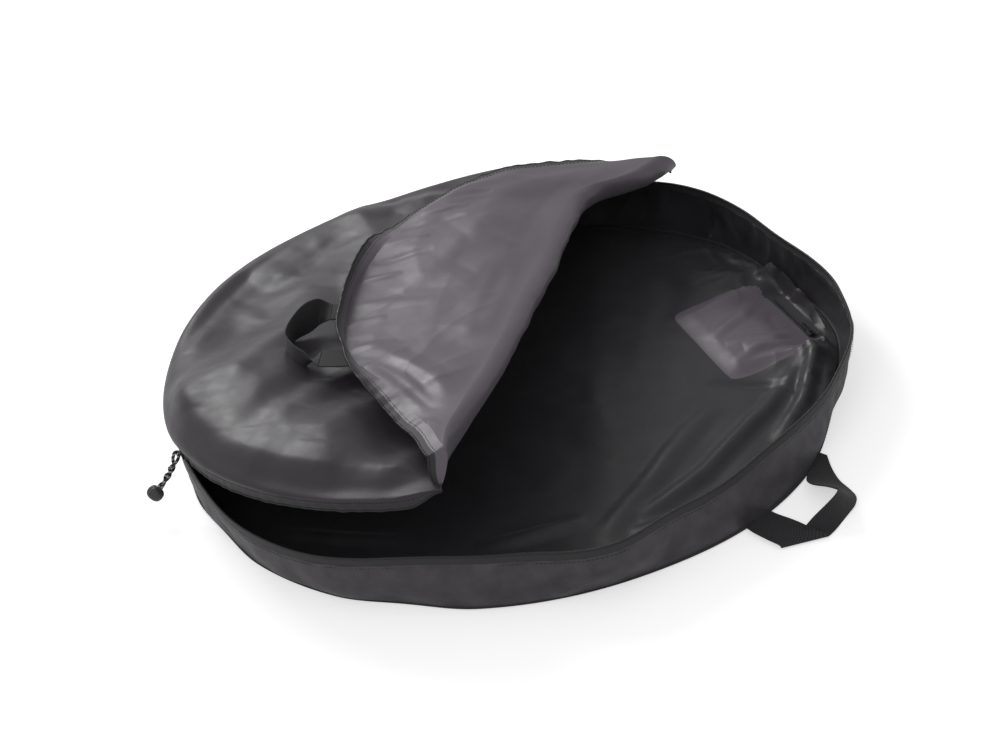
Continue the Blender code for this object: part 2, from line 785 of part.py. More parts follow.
def build_pocket():
    """A domed cloth pocket lying on the floor, its zip along the outer side."""
    start, end, ahead, inward = pocket_frame()
    middle = (start + end) / 2
    edge = POCKET_COIL_R + GAP
    along = np.linspace(-1, 1, 25)[:, None]
    inside = np.linspace(0, 1, 17)[None, :]
    dome = np.cos(np.pi / 2 * along) * np.sin(np.pi * inside)
    run = along * POCKET_HALF_L
    reach = edge + inside * POCKET_DEPTH
    ground = middle + run[..., None] * ahead + reach[..., None] * inward
    up = np.array([0, 0, 1.0])
    lower = ground + (FLOOR_Z + POCKET_BULGE * dome)[..., None] * up
    upper = lower + POCKET_CLOTH * up
    sheet("pocket_panel", upper, lower, "nylon_lining")

    length = np.linalg.norm(end - start) + POCKET_SLIDER_L
    centre = middle - (edge + POCKET_TAPE_W / 2) * inward
    centre = centre + (FLOOR_Z + POCKET_TAPE_T / 2) * up
    axes = (inward, ahead, up)
    size = (POCKET_TAPE_W, length, POCKET_TAPE_T)
    box("pocket_tape", centre, axes, size, "zip_tape")
    ends = [middle + s * length / 2 * ahead for s in (-1, 0, 1)]
    path = [p + (FLOOR_Z + POCKET_COIL_R) * up for p in ends]
    straight_tube("pocket_coil", path, POCKET_COIL_R, inward, up, "zip_coil")


def straight_tube(name, path, radius, side, up, slot, origin=(0, 0, 0)):
    turns = np.arange(WIRE_SIDES) * math.tau / WIRE_SIDES
    circle = [radius * (math.cos(t) * side + math.sin(t) * up) for t in turns]
    return swept(name, [[p + c for c in circle] for p in path], slot, origin)


def build_pocket_slider():
    _, end, ahead, inward = pocket_frame()
    up = np.array([0, 0, 1.0])
    low = FLOOR_Z + 2 * POCKET_COIL_R + GAP
    axes = (inward, ahead, up)
    size = (POCKET_SLIDER_W, POCKET_SLIDER_L, POCKET_SLIDER_T)
    centre = end + (low + POCKET_SLIDER_T / 2) * up
    plate = box("pocket_slider", centre, axes, size, "slider_metal", end)
    for number, side in enumerate((-1, 1)):
        wide = POCKET_SLIDER_W / 2 - POCKET_COIL_R - 2 * GAP
        across = side * (POCKET_SLIDER_W - wide) / 2
        place = centre + across * inward - POCKET_CHEEK / 2 * up
        size = (wide, POCKET_SLIDER_L, POCKET_SLIDER_T)
        cheek = box("cheek_add_%d" % number, place, axes, size, "slider_metal")
        boolean(plate, cheek, "UNION")
    top = end + (low + POCKET_SLIDER_T) * up
    arch = wire_loop(POCKET_CROWN_HALF_L, POCKET_CROWN_UP)
    path = [top + x * ahead + y * up for x, y in arch]
    boolean(plate, tube("pocket_crown_add", path, POCKET_WIRE_R, "slider_metal"), "UNION")

    # The tab's end bar lies under the crown, and its eye lets the crown through
    bar = top + (POCKET_CROWN_UP - POCKET_WIRE_R) / 2 * up
    centre = bar - (POCKET_TAB_L - POCKET_EYE_BAR) / 2 * ahead
    size = (POCKET_TAB_W, POCKET_TAB_L, POCKET_TAB_T)
    tab = box("pocket_tab", centre, axes, size, "slider_metal", bar)
    eye = bar - (POCKET_EYE_BAR + POCKET_EYE_L) / 2 * ahead
    hole = (2 * (POCKET_WIRE_R + POCKET_EYE_CLEAR), POCKET_EYE_L, 2 * POCKET_TAB_T)
    boolean(tab, box("eye_cut", eye, axes, hole, "slider_metal"), "DIFFERENCE")


def main():
    for old in list(bpy.data.objects):
        bpy.data.objects.remove(old, do_unlink=True)
    build_base()
    build_rim_zip()
    build_back_gusset()
    build_lid()
    build_fold()
    build_flap()
    build_lower_handle()
    build_upper_handle()
    bar, out = build_slider()
    build_pull(bar, out)
    build_pocket()
    build_pocket_slider()


main()
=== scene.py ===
# %% [markdown]
# # A round bag for one wheel, open at the front
# The bag lies on its base. Its zip runs round the front half, and the front
# of the lid is folded back, so that the shiny inner face lies uppermost.
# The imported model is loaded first: every piece below is worked out in its frame.

# %% The frame
import math

import bpy
import numpy as np
from mathutils import Matrix, Vector


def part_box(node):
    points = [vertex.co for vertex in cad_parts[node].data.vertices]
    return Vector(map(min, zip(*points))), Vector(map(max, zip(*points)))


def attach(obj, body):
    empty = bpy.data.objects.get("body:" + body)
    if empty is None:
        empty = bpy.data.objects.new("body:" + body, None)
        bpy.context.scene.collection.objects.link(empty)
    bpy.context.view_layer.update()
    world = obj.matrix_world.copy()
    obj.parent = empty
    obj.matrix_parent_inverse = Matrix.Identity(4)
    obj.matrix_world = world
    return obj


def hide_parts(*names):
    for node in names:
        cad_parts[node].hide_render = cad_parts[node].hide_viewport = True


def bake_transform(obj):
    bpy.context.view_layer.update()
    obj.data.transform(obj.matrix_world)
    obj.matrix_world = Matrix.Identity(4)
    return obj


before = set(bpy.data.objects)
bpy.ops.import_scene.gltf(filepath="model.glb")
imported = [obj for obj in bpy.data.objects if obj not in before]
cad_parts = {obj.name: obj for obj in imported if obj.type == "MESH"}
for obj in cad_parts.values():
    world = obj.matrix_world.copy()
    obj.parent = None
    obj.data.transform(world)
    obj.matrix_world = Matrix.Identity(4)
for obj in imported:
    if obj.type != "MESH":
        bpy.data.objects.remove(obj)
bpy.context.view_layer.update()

# %% [markdown]
# ## Sizes
# A sewn bag is cut from a few flat sizes. The same sizes set the solids, so they
# are written here once more, in metres, and each curve below follows from them.
# Angles run round the bag in degrees from +X, and the open zip lies from ZIP_START
# over the front to ZIP_END. The crease of the lid is a line at FOLD_DEG.

# %% Sizes
BASE_R = 0.390
RIM_R = 0.393
WALL_H = 0.060
RIM_TAPE_H = 0.0082
COIL_R = 0.0014
GAP = 0.0003
LOWER_COIL_Z = WALL_H + RIM_TAPE_H + COIL_R + 2 * GAP
ZIP_PARTED = 0.0040
UPPER_COIL_Z = LOWER_COIL_Z + 2 * COIL_R + ZIP_PARTED
LID_TAPE_H = 0.0060
LIP_H = 0.012
LID_EDGE_Z = UPPER_COIL_Z + COIL_R + LID_TAPE_H + LIP_H + 2 * GAP
LID_RISE = 0.025
LID_TOP_Z = LID_EDGE_Z + LID_RISE
LID_SLOPE = np.array([-0.055, -0.025])
CLOTH = 0.0012
ZIP_START, ZIP_END = 151.0, 389.0
SLIDER_AT = 152.9
FOLD_DEG, FOLD_OFFSET, FOLD_W = 20.0, -0.083, 0.035
FLAP_DROOP_DEG = 2.9
print("lid from %.4f m at its edge to %.4f m on top" % (LID_EDGE_Z, LID_TOP_Z))

# %% [markdown]
# ## Places and soft steps
# Almost every curve on a round bag is a radius and a height over an angle, so one
# helper turns an angle into a place. Two more give a soft hill and a soft step, which
# blend one form into the next without a corner.

# %% Places and soft steps
def unit(v):
    """Each vector divided by its own length."""
    v = np.asarray(v, float)
    return v / np.maximum(np.linalg.norm(v, axis=-1, keepdims=True), 1e-12)


def polar(radius, degrees, z=0.0):
    """Points at a radius and an angle: (r cos a, r sin a, z)."""
    turn = np.radians(degrees)
    parts = np.broadcast_arrays(radius * np.cos(turn), radius * np.sin(turn), z)
    return np.stack(parts, axis=-1).astype(float)


def bell(x, half):
    """A cosine hill: 1 at zero, 0 from half onward."""
    return (1 + np.cos(np.pi * np.clip(np.abs(x) / half, 0, 1))) / 2


def smooth(x, low, high):
    """0 below low, 1 above high, and 3t^2 - 2t^3 between."""
    t = np.clip((x - low) / (high - low), 0, 1)
    return t * t * (3 - 2 * t)


# %% [markdown]
# ## Uneven cloth
# Slack cloth is never even. Slow noise gives it swells and narrow ridges where the
# noise crosses zero give it creases. Thin coated cloth also lies in flat patches that
# meet in soft edges, and those patches are what its broad highlights show.
# Each use below reads height x pattern(x, y, size, seed): how far the cloth moves, how
# wide the pattern is, both in metres, and which draw of it.

# %% Noise
LATTICE = 128


def fade(t):
    """0 to 1 with no slope and no bend at either end: 6t^5 - 15t^4 + 10t^3."""
    return t * t * t * (t * (6 * t - 15) + 10)


def noise(x, y, size, seed):
    """Gradient noise: each lattice corner holds a random slope, blended between.

    size is the distance between corners in metres; the result lies in -1 to 1.
    """
    lattice = np.random.default_rng(seed).uniform(0, 2 * np.pi, (LATTICE, LATTICE))
    x, y = np.broadcast_arrays(np.asarray(x, float) / size, np.asarray(y, float) / size)
    i, k = np.floor(x).astype(int), np.floor(y).astype(int)
    u, v = x - i, y - k

    def corner(a, b):
        angle = lattice[(i + a) % LATTICE, (k + b) % LATTICE]
        return np.cos(angle) * (u - a) + np.sin(angle) * (v - b)

    low = corner(0, 0) + (corner(1, 0) - corner(0, 0)) * fade(u)
    high = corner(0, 1) + (corner(1, 1) - corner(0, 1)) * fade(u)
    return 1.4 * (low + (high - low) * fade(v))


# %% Creases and facets
def crease(x, y, size, seed, sharp=2.0):
    """Narrow ridges where noise crosses zero: (1 - |noise|) to a power."""
    warp = 0.35 * size
    wx = x + warp * noise(x, y, 1.7 * size, seed + 11)
    wy = y + warp * noise(x, y, 1.7 * size, seed + 12)
    return (1 - np.clip(np.abs(noise(wx, wy, size, seed)) * sharp, 0, 1)) ** 2


def facets(x, y, size, seed, soft=0.09):
    """Flat three-cornered patches with soft creases between, as slack thin cloth lies.

    Random heights stand on a lattice bent by slow noise, each cell is cut on its
    diagonal into two flat halves, and five near samples are averaged.
    """
    lattice = np.random.default_rng(seed).uniform(-1, 1, (LATTICE, LATTICE))
    bent_x = x + 0.45 * size * noise(x, y, 2.1 * size, seed + 21)
    bent_y = y + 0.45 * size * noise(x, y, 2.1 * size, seed + 22)
    total = 0.0
    for dx, dy in ((0, 0), (soft, 0), (-soft, 0), (0, soft), (0, -soft)):
        u, v = bent_x / size + dx, bent_y / size + dy
        i, k = np.floor(u).astype(int), np.floor(v).astype(int)
        a, b = u - i, v - k
        i, k, right, top = (c % LATTICE for c in (i, k, i + 1, k + 1))
        low, high = lattice[i, k], lattice[right, top]
        beside, above = lattice[right, k], lattice[i, top]
        first = low + a * (beside - low) + b * (high - beside)
        second = low + b * (above - low) + a * (high - above)
        total = total + np.where(a > b, first, second) / 5
    return total


spots = np.random.default_rng(1).uniform(0, 1, (2, 1000))
print("noise %.2f, facets %.2f" % tuple(np.ptp(f(*spots, 0.1, 1)) for f in (noise, facets)))

# %% [markdown]
# ## Meshes from arrays
# A piece is a grid of points worked out by a formula. The grid becomes quads, and each
# face corner also gets its flat place, the metres walked over the cloth, in a UV map.
# Woven patterns are drawn on that map, so they follow the piece wherever it turns.

# %% A mesh
def mesh_object(name, points, faces, materials, face_slots=None, sharp_deg=40, woven=None):
    """Points and faces as one object; woven holds a flat place for each face corner."""
    mesh = bpy.data.meshes.new(name)
    mesh.from_pydata(np.asarray(points, float).reshape(-1, 3).tolist(), [], faces)
    if woven is not None:
        layer = mesh.uv_layers.new(name="cloth_metres")
        layer.uv.foreach_set("vector", np.asarray(woven, np.float32).ravel())
    for found in materials:
        mesh.materials.append(found)
    if face_slots is not None:
        mesh.polygons.foreach_set("material_index", np.asarray(face_slots, np.int32))
    mesh.shade_smooth()
    mesh.set_sharp_from_angle(angle=math.radians(sharp_deg))
    mesh.update()
    made = bpy.data.objects.new(name, mesh)
    bpy.context.scene.collection.objects.link(made)
    return made


# %% The faces of a grid
def grid_faces(rows, cols, wrap=False):
    """Quads between neighbouring grid points, as one array."""
    i = np.arange(rows if wrap else rows - 1)[:, None]
    k = np.arange(cols - 1)[None, :]
    a = i * cols + k
    b = (i + 1) % rows * cols + k
    return np.stack([a, b, b + 1, a + 1], axis=-1).reshape(-1, 4)


def run_along(points):
    """The distance walked along a line of points, from 0 at the first."""
    gaps = np.linalg.norm(np.diff(points, axis=0), axis=1)
    return np.concatenate([[0], np.cumsum(gaps)])


print("a grid of 3 by 4 points has %d faces" % len(grid_faces(3, 4)))

# %% [markdown]
# ## A sheet of cloth
# Cloth is thin but not flat paper: seen at an edge it has a thickness, and its two
# faces may have two finishes. A grid is moved half a thickness along its normals to
# either side, and the border between the two is closed.

# %% The normals of a grid
def normals(grid):
    """Unit normals of a grid: the cross product of its two directions."""
    return unit(np.cross(np.gradient(grid, axis=0), np.gradient(grid, axis=1)))


def ring_normals(grid):
    """Normals of a grid whose rows close on themselves."""
    padded = np.concatenate([grid[-1:], grid, grid[:1]])
    return normals(padded)[1:-1]


# %% A sheet from its grid
def sheet(name, grid, thickness, materials, wrap=False):
    """A thin closed sheet: the grid moved half a thickness to either side.

    The first material is on the side that the grid's normals point to. Each face
    corner also gets its flat place: the metres walked along its column and row.
    """
    rows, cols = grid.shape[:2]
    up = ring_normals(grid) if wrap else normals(grid)
    points = np.concatenate([grid + up * thickness / 2, grid - up * thickness / 2])
    quads = grid_faces(rows, cols, wrap)
    under = rows * cols
    faces = [quads, under + quads[:, ::-1]]
    slots = [np.zeros(len(quads)), np.full(len(quads), min(1, len(materials) - 1))]
    index = np.arange(rows * cols).reshape(rows, cols)
    sides = [index[:, 0], index[-1, 1:], index[-2::-1, -1], index[0, -2::-1]]
    if wrap:
        closed = np.concatenate([index, index[:1]])
        borders = [closed[:, 0], closed[::-1, -1]]
    else:
        borders = [np.concatenate(sides)]
    for line in borders:
        a, b = line[:-1], line[1:]
        faces.append(np.stack([b, a, under + a, under + b], axis=-1))
        slots.append(np.zeros(len(a)))
    faces = np.concatenate(faces)
    walked, across = run_along(grid[:, cols // 2]), run_along(grid[rows // 2])
    row, col = np.divmod(faces.ravel() % under, cols)
    woven = np.stack([walked[row], across[col]], axis=1)
    slots = np.concatenate(slots)
    return mesh_object(name, points.reshape(-1, 3), faces.tolist(), materials, slots, 40, woven)


# %% What carries a piece
def settle(piece, body, slot, *nodes):
    """Says what body carries a piece and the solids that it stands for; slot, its finish, is not
    used.
    """
    if nodes:
        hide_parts(*nodes)
    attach(piece, body)
    print("%s: %d faces on %s" % (piece.name, len(piece.data.polygons), body))


# %% [markdown]
# ## Finishes
# The bag is woven polyester with a thin coating on one face. The coating gives broad,
# soft highlights, and every slack panel shows them in patches, because the cloth is
# never flat. Webbing and zip tape are woven, ribbed and matt. Each pattern is worked
# out from a real size in millimetres. Panels read Object coordinates, and webbing and
# tape the strip's own flat places, so that the ribs turn with the strip.

# %% Colours and nodes
def colour(text):
    """An sRGB hex colour as linear red, green, blue and alpha.

    Each share is s / 12.92 up to 0.04045 and ((s + 0.055) / 1.055) ^ 2.4 above it.
    """
    shares = [int(text[i : i + 2], 16) / 255 for i in (1, 3, 5)]
    return [s / 12.92 if s <= 0.04045 else ((s + 0.055) / 1.055) ** 2.4 for s in shares] + [1.0]


def node(tree, kind, links=None, output=0, **settings):
    """Adds one node, sets its values, links its inputs and gives one of its outputs."""
    made = tree.nodes.new(kind)
    for key, value in settings.items():
        setattr(made, key, value)
    for key, value in (links or {}).items():
        socket = made.inputs[key]
        if isinstance(value, bpy.types.NodeSocket):
            tree.links.new(value, socket)
        else:
            socket.default_value = value
    return made.outputs[output]


def new_finish(name, **values):
    """An empty finish with its shader's values set: its tree, shader and coordinates."""
    made = bpy.data.materials.new(name)
    made.use_nodes = True
    tree = made.node_tree
    shader = tree.nodes["Principled BSDF"]
    for key, value in values.items():
        shader.inputs[key.replace("_", " ")].default_value = value
    return made, tree, shader, node(tree, "ShaderNodeTexCoord", None, "Object")


def clouds(place, size_mm, detail=3.0):
    """The inputs of cloudy noise whose clouds are size_mm across."""
    return {"Vector": place, "Scale": 1000 / size_mm, "Detail": detail, "Roughness": 0.5}


def stripes(flat, along_mm, distortion):
    """The inputs of a slanting wave that comes again every along_mm along a strip.

    It is sin((x + y) x 10 x scale), so its scale is pi / 5 over that length in metres.
    """
    return {"Vector": flat, "Scale": math.pi / 5 / (along_mm / 1000), "Distortion": distortion}


print("mid grey is %.3f in linear light" % colour("#808080")[0])

# %% [markdown]
# Coated polyester has a smooth skin over its threads. A fine weave stays faintly
# visible, small soft crumples break the light up, and handling makes some places
# duller than others.

# %% Coated cloth
THREADS_MM, CRUMPLE_MM, WORN_MM = 1.1, 11.0, 26
WEAVE_DEPTH_MM = 0.06


def coated_cloth(name, dark, light, roughness, patch_mm, crumple_depth_mm):
    """Two near colours in soft patches, a fine weave and small soft crumples.

    The real threads are 0.3 mm apart and would not show, so the weave is drawn
    almost four times as coarse.
    """
    made, tree, shader, place = new_finish(name, Sheen_Weight=0.08, Sheen_Roughness=0.4)
    patches, worn, threads, crumples = (
        node(tree, "ShaderNodeTexNoise", clouds(place, size_mm, detail))
        for size_mm, detail in ((patch_mm, 3.0), (WORN_MM, 3.0), (THREADS_MM, 1.0), (CRUMPLE_MM, 4.0))
    )
    inputs = {"Factor": patches, 6: colour(dark), 7: colour(light)}
    tint = node(tree, "ShaderNodeMix", inputs, 2, data_type="RGBA")
    tree.links.new(tint, shader.inputs["Base Color"])
    inputs = {"Value": worn, "From Min": 0.3, "From Max": 0.7}
    inputs.update({"To Min": roughness - 0.05, "To Max": roughness + 0.07})
    tree.links.new(node(tree, "ShaderNodeMapRange", inputs), shader.inputs["Roughness"])
    inputs = {"Height": threads, "Strength": 0.35, "Distance": WEAVE_DEPTH_MM / 1000}
    weave = node(tree, "ShaderNodeBump", inputs)
    inputs = {"Height": crumples, "Strength": 0.5, "Distance": crumple_depth_mm / 1000}
    inputs["Normal"] = weave
    tree.links.new(node(tree, "ShaderNodeBump", inputs), shader.inputs["Normal"])
    return made


# %% [markdown]
# Webbing, zip tape and binding are woven strips with ribs across them. Polyester
# staple is matt, and the ribs catch the light one after the other.

# %% Ribbed webbing and tape
def ribbed_strip(name, dark, light, roughness, rib_mm, rib_depth_mm):
    """A woven strip: a slanting rib every rib_mm along it, with the threads' fine grain."""
    made, tree, shader, place = new_finish(
        name, Roughness=roughness, Sheen_Weight=0.12, Sheen_Roughness=0.5
    )
    flat = node(tree, "ShaderNodeUVMap", None, "UV", uv_map="cloth_metres")
    inputs = stripes(flat, rib_mm, 0.4)
    ribs = node(tree, "ShaderNodeTexWave", inputs, "Fac", bands_direction="DIAGONAL")
    inputs = {"Factor": ribs, 6: colour(dark), 7: colour(light)}
    tint = node(tree, "ShaderNodeMix", inputs, 2, data_type="RGBA")
    tree.links.new(tint, shader.inputs["Base Color"])
    grain = node(tree, "ShaderNodeTexNoise", clouds(place, 0.9, 1.0))
    inputs = {"Height": grain, "Strength": 0.5, "Distance": 0.00005}
    threads = node(tree, "ShaderNodeBump", inputs)
    inputs = {"Height": ribs, "Strength": 0.7, "Distance": rib_depth_mm / 1000}
    inputs["Normal"] = threads
    tree.links.new(node(tree, "ShaderNodeBump", inputs), shader.inputs["Normal"])
    return made


# %% [markdown]
# The cord is braided black yarn with a few light threads. The light threads wind
# round it, so they are bands of a wave taken along the cord's own flat places.

# %% Braided cord
def braided_yarn(name, dark, fleck, fleck_mm):
    """Slanted light flecks on a dark braid, one every fleck_mm along the cord."""
    made, tree, shader, _ = new_finish(name, Roughness=0.65)
    flat = node(tree, "ShaderNodeUVMap", None, "UV", uv_map="cloth_metres")
    inputs = stripes(flat, fleck_mm, 1.5)
    wave = node(tree, "ShaderNodeTexWave", inputs, "Fac", bands_direction="DIAGONAL")
    inputs = {"Value": wave, "From Min": 0.72, "From Max": 0.86}
    flecks = node(tree, "ShaderNodeMapRange", inputs)
    inputs = {"Factor": flecks, 6: colour(dark), 7: colour(fleck)}
    tint = node(tree, "ShaderNodeMix", inputs, 2, data_type="RGBA")
    tree.links.new(tint, shader.inputs["Base Color"])
    inputs = {"Height": wave, "Strength": 0.5, "Distance": 0.00015}
    tree.links.new(node(tree, "ShaderNodeBump", inputs), shader.inputs["Normal"])
    return made


# %% [markdown]
# The coil is extruded nylon, the slider die-cast zinc under dark paint, the bead
# moulded rubber. Each has one colour, a fine grain and places that hands have polished.

# %% Moulded, cast and spun finishes
HANDLED_MM = 6


def grained(name, text, roughness, metallic=0.0, grain_mm=0.6, depth_mm=0.05):
    """One colour, a fine grain, and a roughness that drifts from place to place."""
    made, tree, shader, place = new_finish(name, Base_Color=colour(text), Metallic=metallic)
    handled = node(tree, "ShaderNodeTexNoise", clouds(place, HANDLED_MM))
    inputs = {"Value": handled, "From Min": 0.3, "From Max": 0.7}
    inputs.update({"To Min": roughness - 0.08, "To Max": roughness + 0.08})
    tree.links.new(node(tree, "ShaderNodeMapRange", inputs), shader.inputs["Roughness"])
    grain = node(tree, "ShaderNodeTexNoise", clouds(place, grain_mm))
    inputs = {"Height": grain, "Strength": 0.3, "Distance": depth_mm / 1000}
    tree.links.new(node(tree, "ShaderNodeBump", inputs), shader.inputs["Normal"])
    return made


# %% The bag's finishes
# The lid's outer face: near black with a violet cast, broad patches.
NYLON_OUT = coated_cloth("coated_polyester_lid", "#312d32", "#413b42", 0.43, 70, 0.3)
# The side: more handled, so its patches are smaller and its crumples deeper.
NYLON_WALL = coated_cloth("coated_polyester_side", "#2a272b", "#605c62", 0.45, 24, 1.1)
# The inner face carries the coating and is the lightest and the shiniest.
NYLON_IN = coated_cloth("coated_polyester_inner_face", "#5f5961", "#6f6871", 0.42, 90, 0.25)
# The inner face's coated cloth once more, as a darker copy for the floor and the inside faces of
# wall, foot, lid and strip: its colour is painted shade for the dark inside of the bag.
NYLON_LINING_PAINTED_SHADE = coated_cloth("coated_polyester_lining_painted_shade", "#2b292c", "#3b383d", 0.42, 60, 0.4)
# Woven strips: coarse ribs on the webbing, fine ones on tape and binding.
WEBBING = ribbed_strip("polyester_webbing", "#211f22", "#343236", 0.78, 3.2, 0.25)
ZIP_TAPE = ribbed_strip("woven_zip_tape", "#2b292c", "#3c3a3d", 0.62, 2.4, 0.1)
BINDING = ribbed_strip("folded_seam_binding", "#2a292b", "#373638", 0.65, 2.8, 0.12)
# Small hard parts and thread: the metal shines most, the thread least.
ZIP_COIL = grained("nylon_zip_coil", "#29282a", 0.36)
SLIDER_METAL = grained("painted_zinc_slider", "#4c4b4e", 0.30, 0.7)
BEAD = grained("moulded_rubber_bead", "#4a494b", 0.42, 0.0, 0.8, 0.12)
CORD = braided_yarn("braided_cord", "#19191a", "#b9b7b5", 8.0)
THREAD = grained("polyester_sewing_thread", "#2d2b2e", 0.6, 0.0, 0.4, 0.05)
print("finishes", len(bpy.data.materials))

# %% [markdown]
# ## The camera
# The view is a long lens a good two metres away, looking down at about 34 degrees
# from the front left, with the horizon tipped. It is set before the pieces,
# so that a look through it is possible at any later step.

# %% The camera
EYE = np.array([-1.3124, -1.4073, 1.2789])
LENS_MM, SENSOR_MM = 70.0, 36.0
SHIFT_X, SHIFT_Y = -0.0144, 0.0176
AZIMUTH, ELEVATION, ROLL = (math.radians(v) for v in (43.0, 33.609, -10.36))


def turned(x, y, z):
    """A direction in the camera's own heading as one of the bag's frame."""
    c, s = math.cos(AZIMUTH), math.sin(AZIMUTH)
    return np.array([x * c + y * s, -x * s + y * c, z])


def make_camera():
    """Back is the way from the bag to the eye; the roll turns right and up about it."""
    back = turned(0, -math.cos(ELEVATION), math.sin(ELEVATION))
    right = turned(1, 0, 0)
    up = np.cross(back, right)
    c, s = math.cos(ROLL), math.sin(ROLL)
    across, upward = right * c + up * s, up * c - right * s
    lens = bpy.data.cameras.new("camera")
    lens.lens = LENS_MM
    lens.sensor_width = SENSOR_MM
    lens.shift_x, lens.shift_y = SHIFT_X, SHIFT_Y
    made = bpy.data.objects.new("camera", lens)
    bpy.context.scene.collection.objects.link(made)
    columns = np.eye(4)
    columns[:3, 0], columns[:3, 1], columns[:3, 2], columns[:3, 3] = across, upward, back, EYE
    made.matrix_world = Matrix(columns.tolist())
    bpy.context.scene.camera = made


make_camera()
print("camera %.2f m from the middle" % np.linalg.norm(EYE))

# %% [markdown]
# ## The wall and the foot
# The wall is a strip 60 mm high, sewn to a round base with a bound seam.
# Nothing stiffens it, so its rim wanders in and out along the open zip. A table
# of soft hills over the angle gives that wander to every piece that follows the rim.
# Each row is the middle and the half width in degrees, and the height in metres.

# %% The outline of the rim and of the foot
RIM_HILLS = (
    (185, 28, 0.016), (212, 14, -0.004), (236, 14, 0.018), (268, 20, -0.008),
    (302, 14, 0.006), (338, 24, -0.018), (366, 16, 0.003),
)
FOOT_HILLS = (
    (164, 12, -0.005), (204, 12, -0.006), (264, 24, 0.005), (296, 22, -0.012),
    (338, 24, -0.011),
)


FIRST_DEG = 27
OPEN_STARTS, OPEN_ENDS = (152, 165), (-388, -372)
FOOT_IN = 0.001


def round_the_bag(degrees):
    """The same angle counted from FIRST_DEG, so that the open zip is one run."""
    return (np.asarray(degrees, float) - FIRST_DEG) % 360 + FIRST_DEG


def hills(degrees, table):
    """The sum of cosine hills given as middle, half width and height."""
    place = round_the_bag(degrees)
    return sum(size * bell(place - middle, half) for middle, half, size in table)


def rim_radius(degrees):
    """The rim's plain radius plus its hills."""
    return RIM_R + hills(degrees, RIM_HILLS)


def foot_radius(degrees):
    """The foot's radius, 1 mm inside the base's, plus its hills."""
    return BASE_R - FOOT_IN + hills(degrees, FOOT_HILLS)


def front_share(degrees):
    """1 along the open zip, falling to 0 where the lid is sewn on."""
    place = round_the_bag(degrees)
    return smooth(place, *OPEN_STARTS) * smooth(-place, *OPEN_ENDS)


def rim_height(degrees):
    """The wall's height plus 3 mm of slow noise along the open zip."""
    ring = polar(RIM_R, degrees)
    return WALL_H + 0.003 * front_share(degrees) * noise(ring[..., 0], ring[..., 1], 0.11, 5)


print("rim from %.3f to %.3f m" % tuple(f(rim_radius(np.arange(360.0))) for f in (np.min, np.max)))


# %% [markdown]
# A fold in slack cloth is a long soft ridge. Where one has a known place it is drawn
# as a line with a width and a height, and the cloth rises to it as a cosine hill.

# %% A fold along a line
def ridge(x, y, line, half):
    """1 on a line of points, a cosine hill beside it, fading out at both ends."""
    line = np.asarray(line, float)
    nearest = np.full(np.broadcast(x, y).shape, np.inf)
    place = np.zeros_like(nearest)
    for k, (start, end) in enumerate(zip(line[:-1], line[1:])):
        step = end - start
        t = np.clip(((x - start[0]) * step[0] + (y - start[1]) * step[1]) / (step @ step), 0, 1)
        away = np.hypot(x - start[0] - t * step[0], y - start[1] - t * step[1])
        closer = away < nearest
        nearest = np.where(closer, away, nearest)
        place = np.where(closer, (k + t) / (len(line) - 1), place)
    return bell(nearest, half) * np.sin(np.pi * place) ** 0.6


def folds_of(x, y, table):
    """The sum of ridges given as line, half width and height."""
    return sum(height * ridge(x, y, line, half) for line, half, height in table)


# %% The wall
GROUND_GAP = 0.0012
BELLY, BACK_SHARE = 0.005, 0.25
HANDLE_AT, HANDLE_HALF, HANDLE_CALM = 270, 17, 0.9


def wall_grid():
    """Rows round the bag, columns from the foot to the rim.

    The radius goes straight from foot to rim, plus sin(pi share) times a belly,
    slow dents, facets and a few slanting creases. At the back only BACK_SHARE of
    these is left, and behind the handle the wall lies almost plain.
    """
    around = np.arange(0, 360, 0.4)[:, None]
    share = np.linspace(0, 1, 25)[None, :]
    ring = polar(BASE_R, around + 0 * share)
    x, y = ring[..., 0], ring[..., 1]
    front = BACK_SHARE + (1 - BACK_SHARE) * front_share(around)
    middle = np.sin(np.pi * share)
    out = BELLY * middle * front
    run = np.radians(around) * BASE_R + 0 * share
    lean = run + 0.5 * WALL_H * share
    out = out + 0.0040 * middle * front * noise(x + 0.6 * share * WALL_H, y, 0.075, 31)
    out = out + 0.0070 * middle * front * facets(lean, WALL_H * share, 0.055, 32)
    out = out - 0.0025 * middle * front * crease(lean, 0.5 * WALL_H * share, 0.09, 33)
    out = out + 0.0012 * middle * noise(x, y + 0.03 * share, 0.022, 34)
    out = out + 0.0007 * share**2 * noise(x, y, 0.013, 35)
    out = out * (1 - HANDLE_CALM * bell(around - HANDLE_AT, HANDLE_HALF))
    radius = foot_radius(around) * (1 - share) + rim_radius(around) * share + out
    height = GROUND_GAP + (rim_height(around) - GROUND_GAP) * share
    return polar(radius, around + 0 * share, height)


wall = sheet("wall", wall_grid(), CLOTH, [NYLON_WALL, NYLON_LINING_PAINTED_SHADE], wrap=True)
settle(wall, "base", "nylon_shell", "base_wall")

# %% The foot
CENTRE_SHARE = 0.0006
FOOT_Z = 0.0007


def foot_grid():
    """Rings that close on themselves, each a share of the foot's radius."""
    around = np.arange(0, 360, 2.0)[:, None]
    share = np.linspace(CENTRE_SHARE, 1, 24)[None, :]
    return polar(foot_radius(around) * share, around + 0 * share, FOOT_Z)


foot = sheet("foot", foot_grid(), CLOTH, [NYLON_WALL, NYLON_LINING_PAINTED_SHADE], wrap=True)
settle(foot, "base", "nylon_shell")

# %% [markdown]
# ## Bindings, coils and cords
# Bindings, coils and cords are one round section carried along a path. A zip's coil
# is a spiral too fine to model turn by turn: its radius swells and shrinks along the
# path instead, which shows the same row of small bumps.

# %% Ways across a path
UP = np.array([0, 0, 1.0])


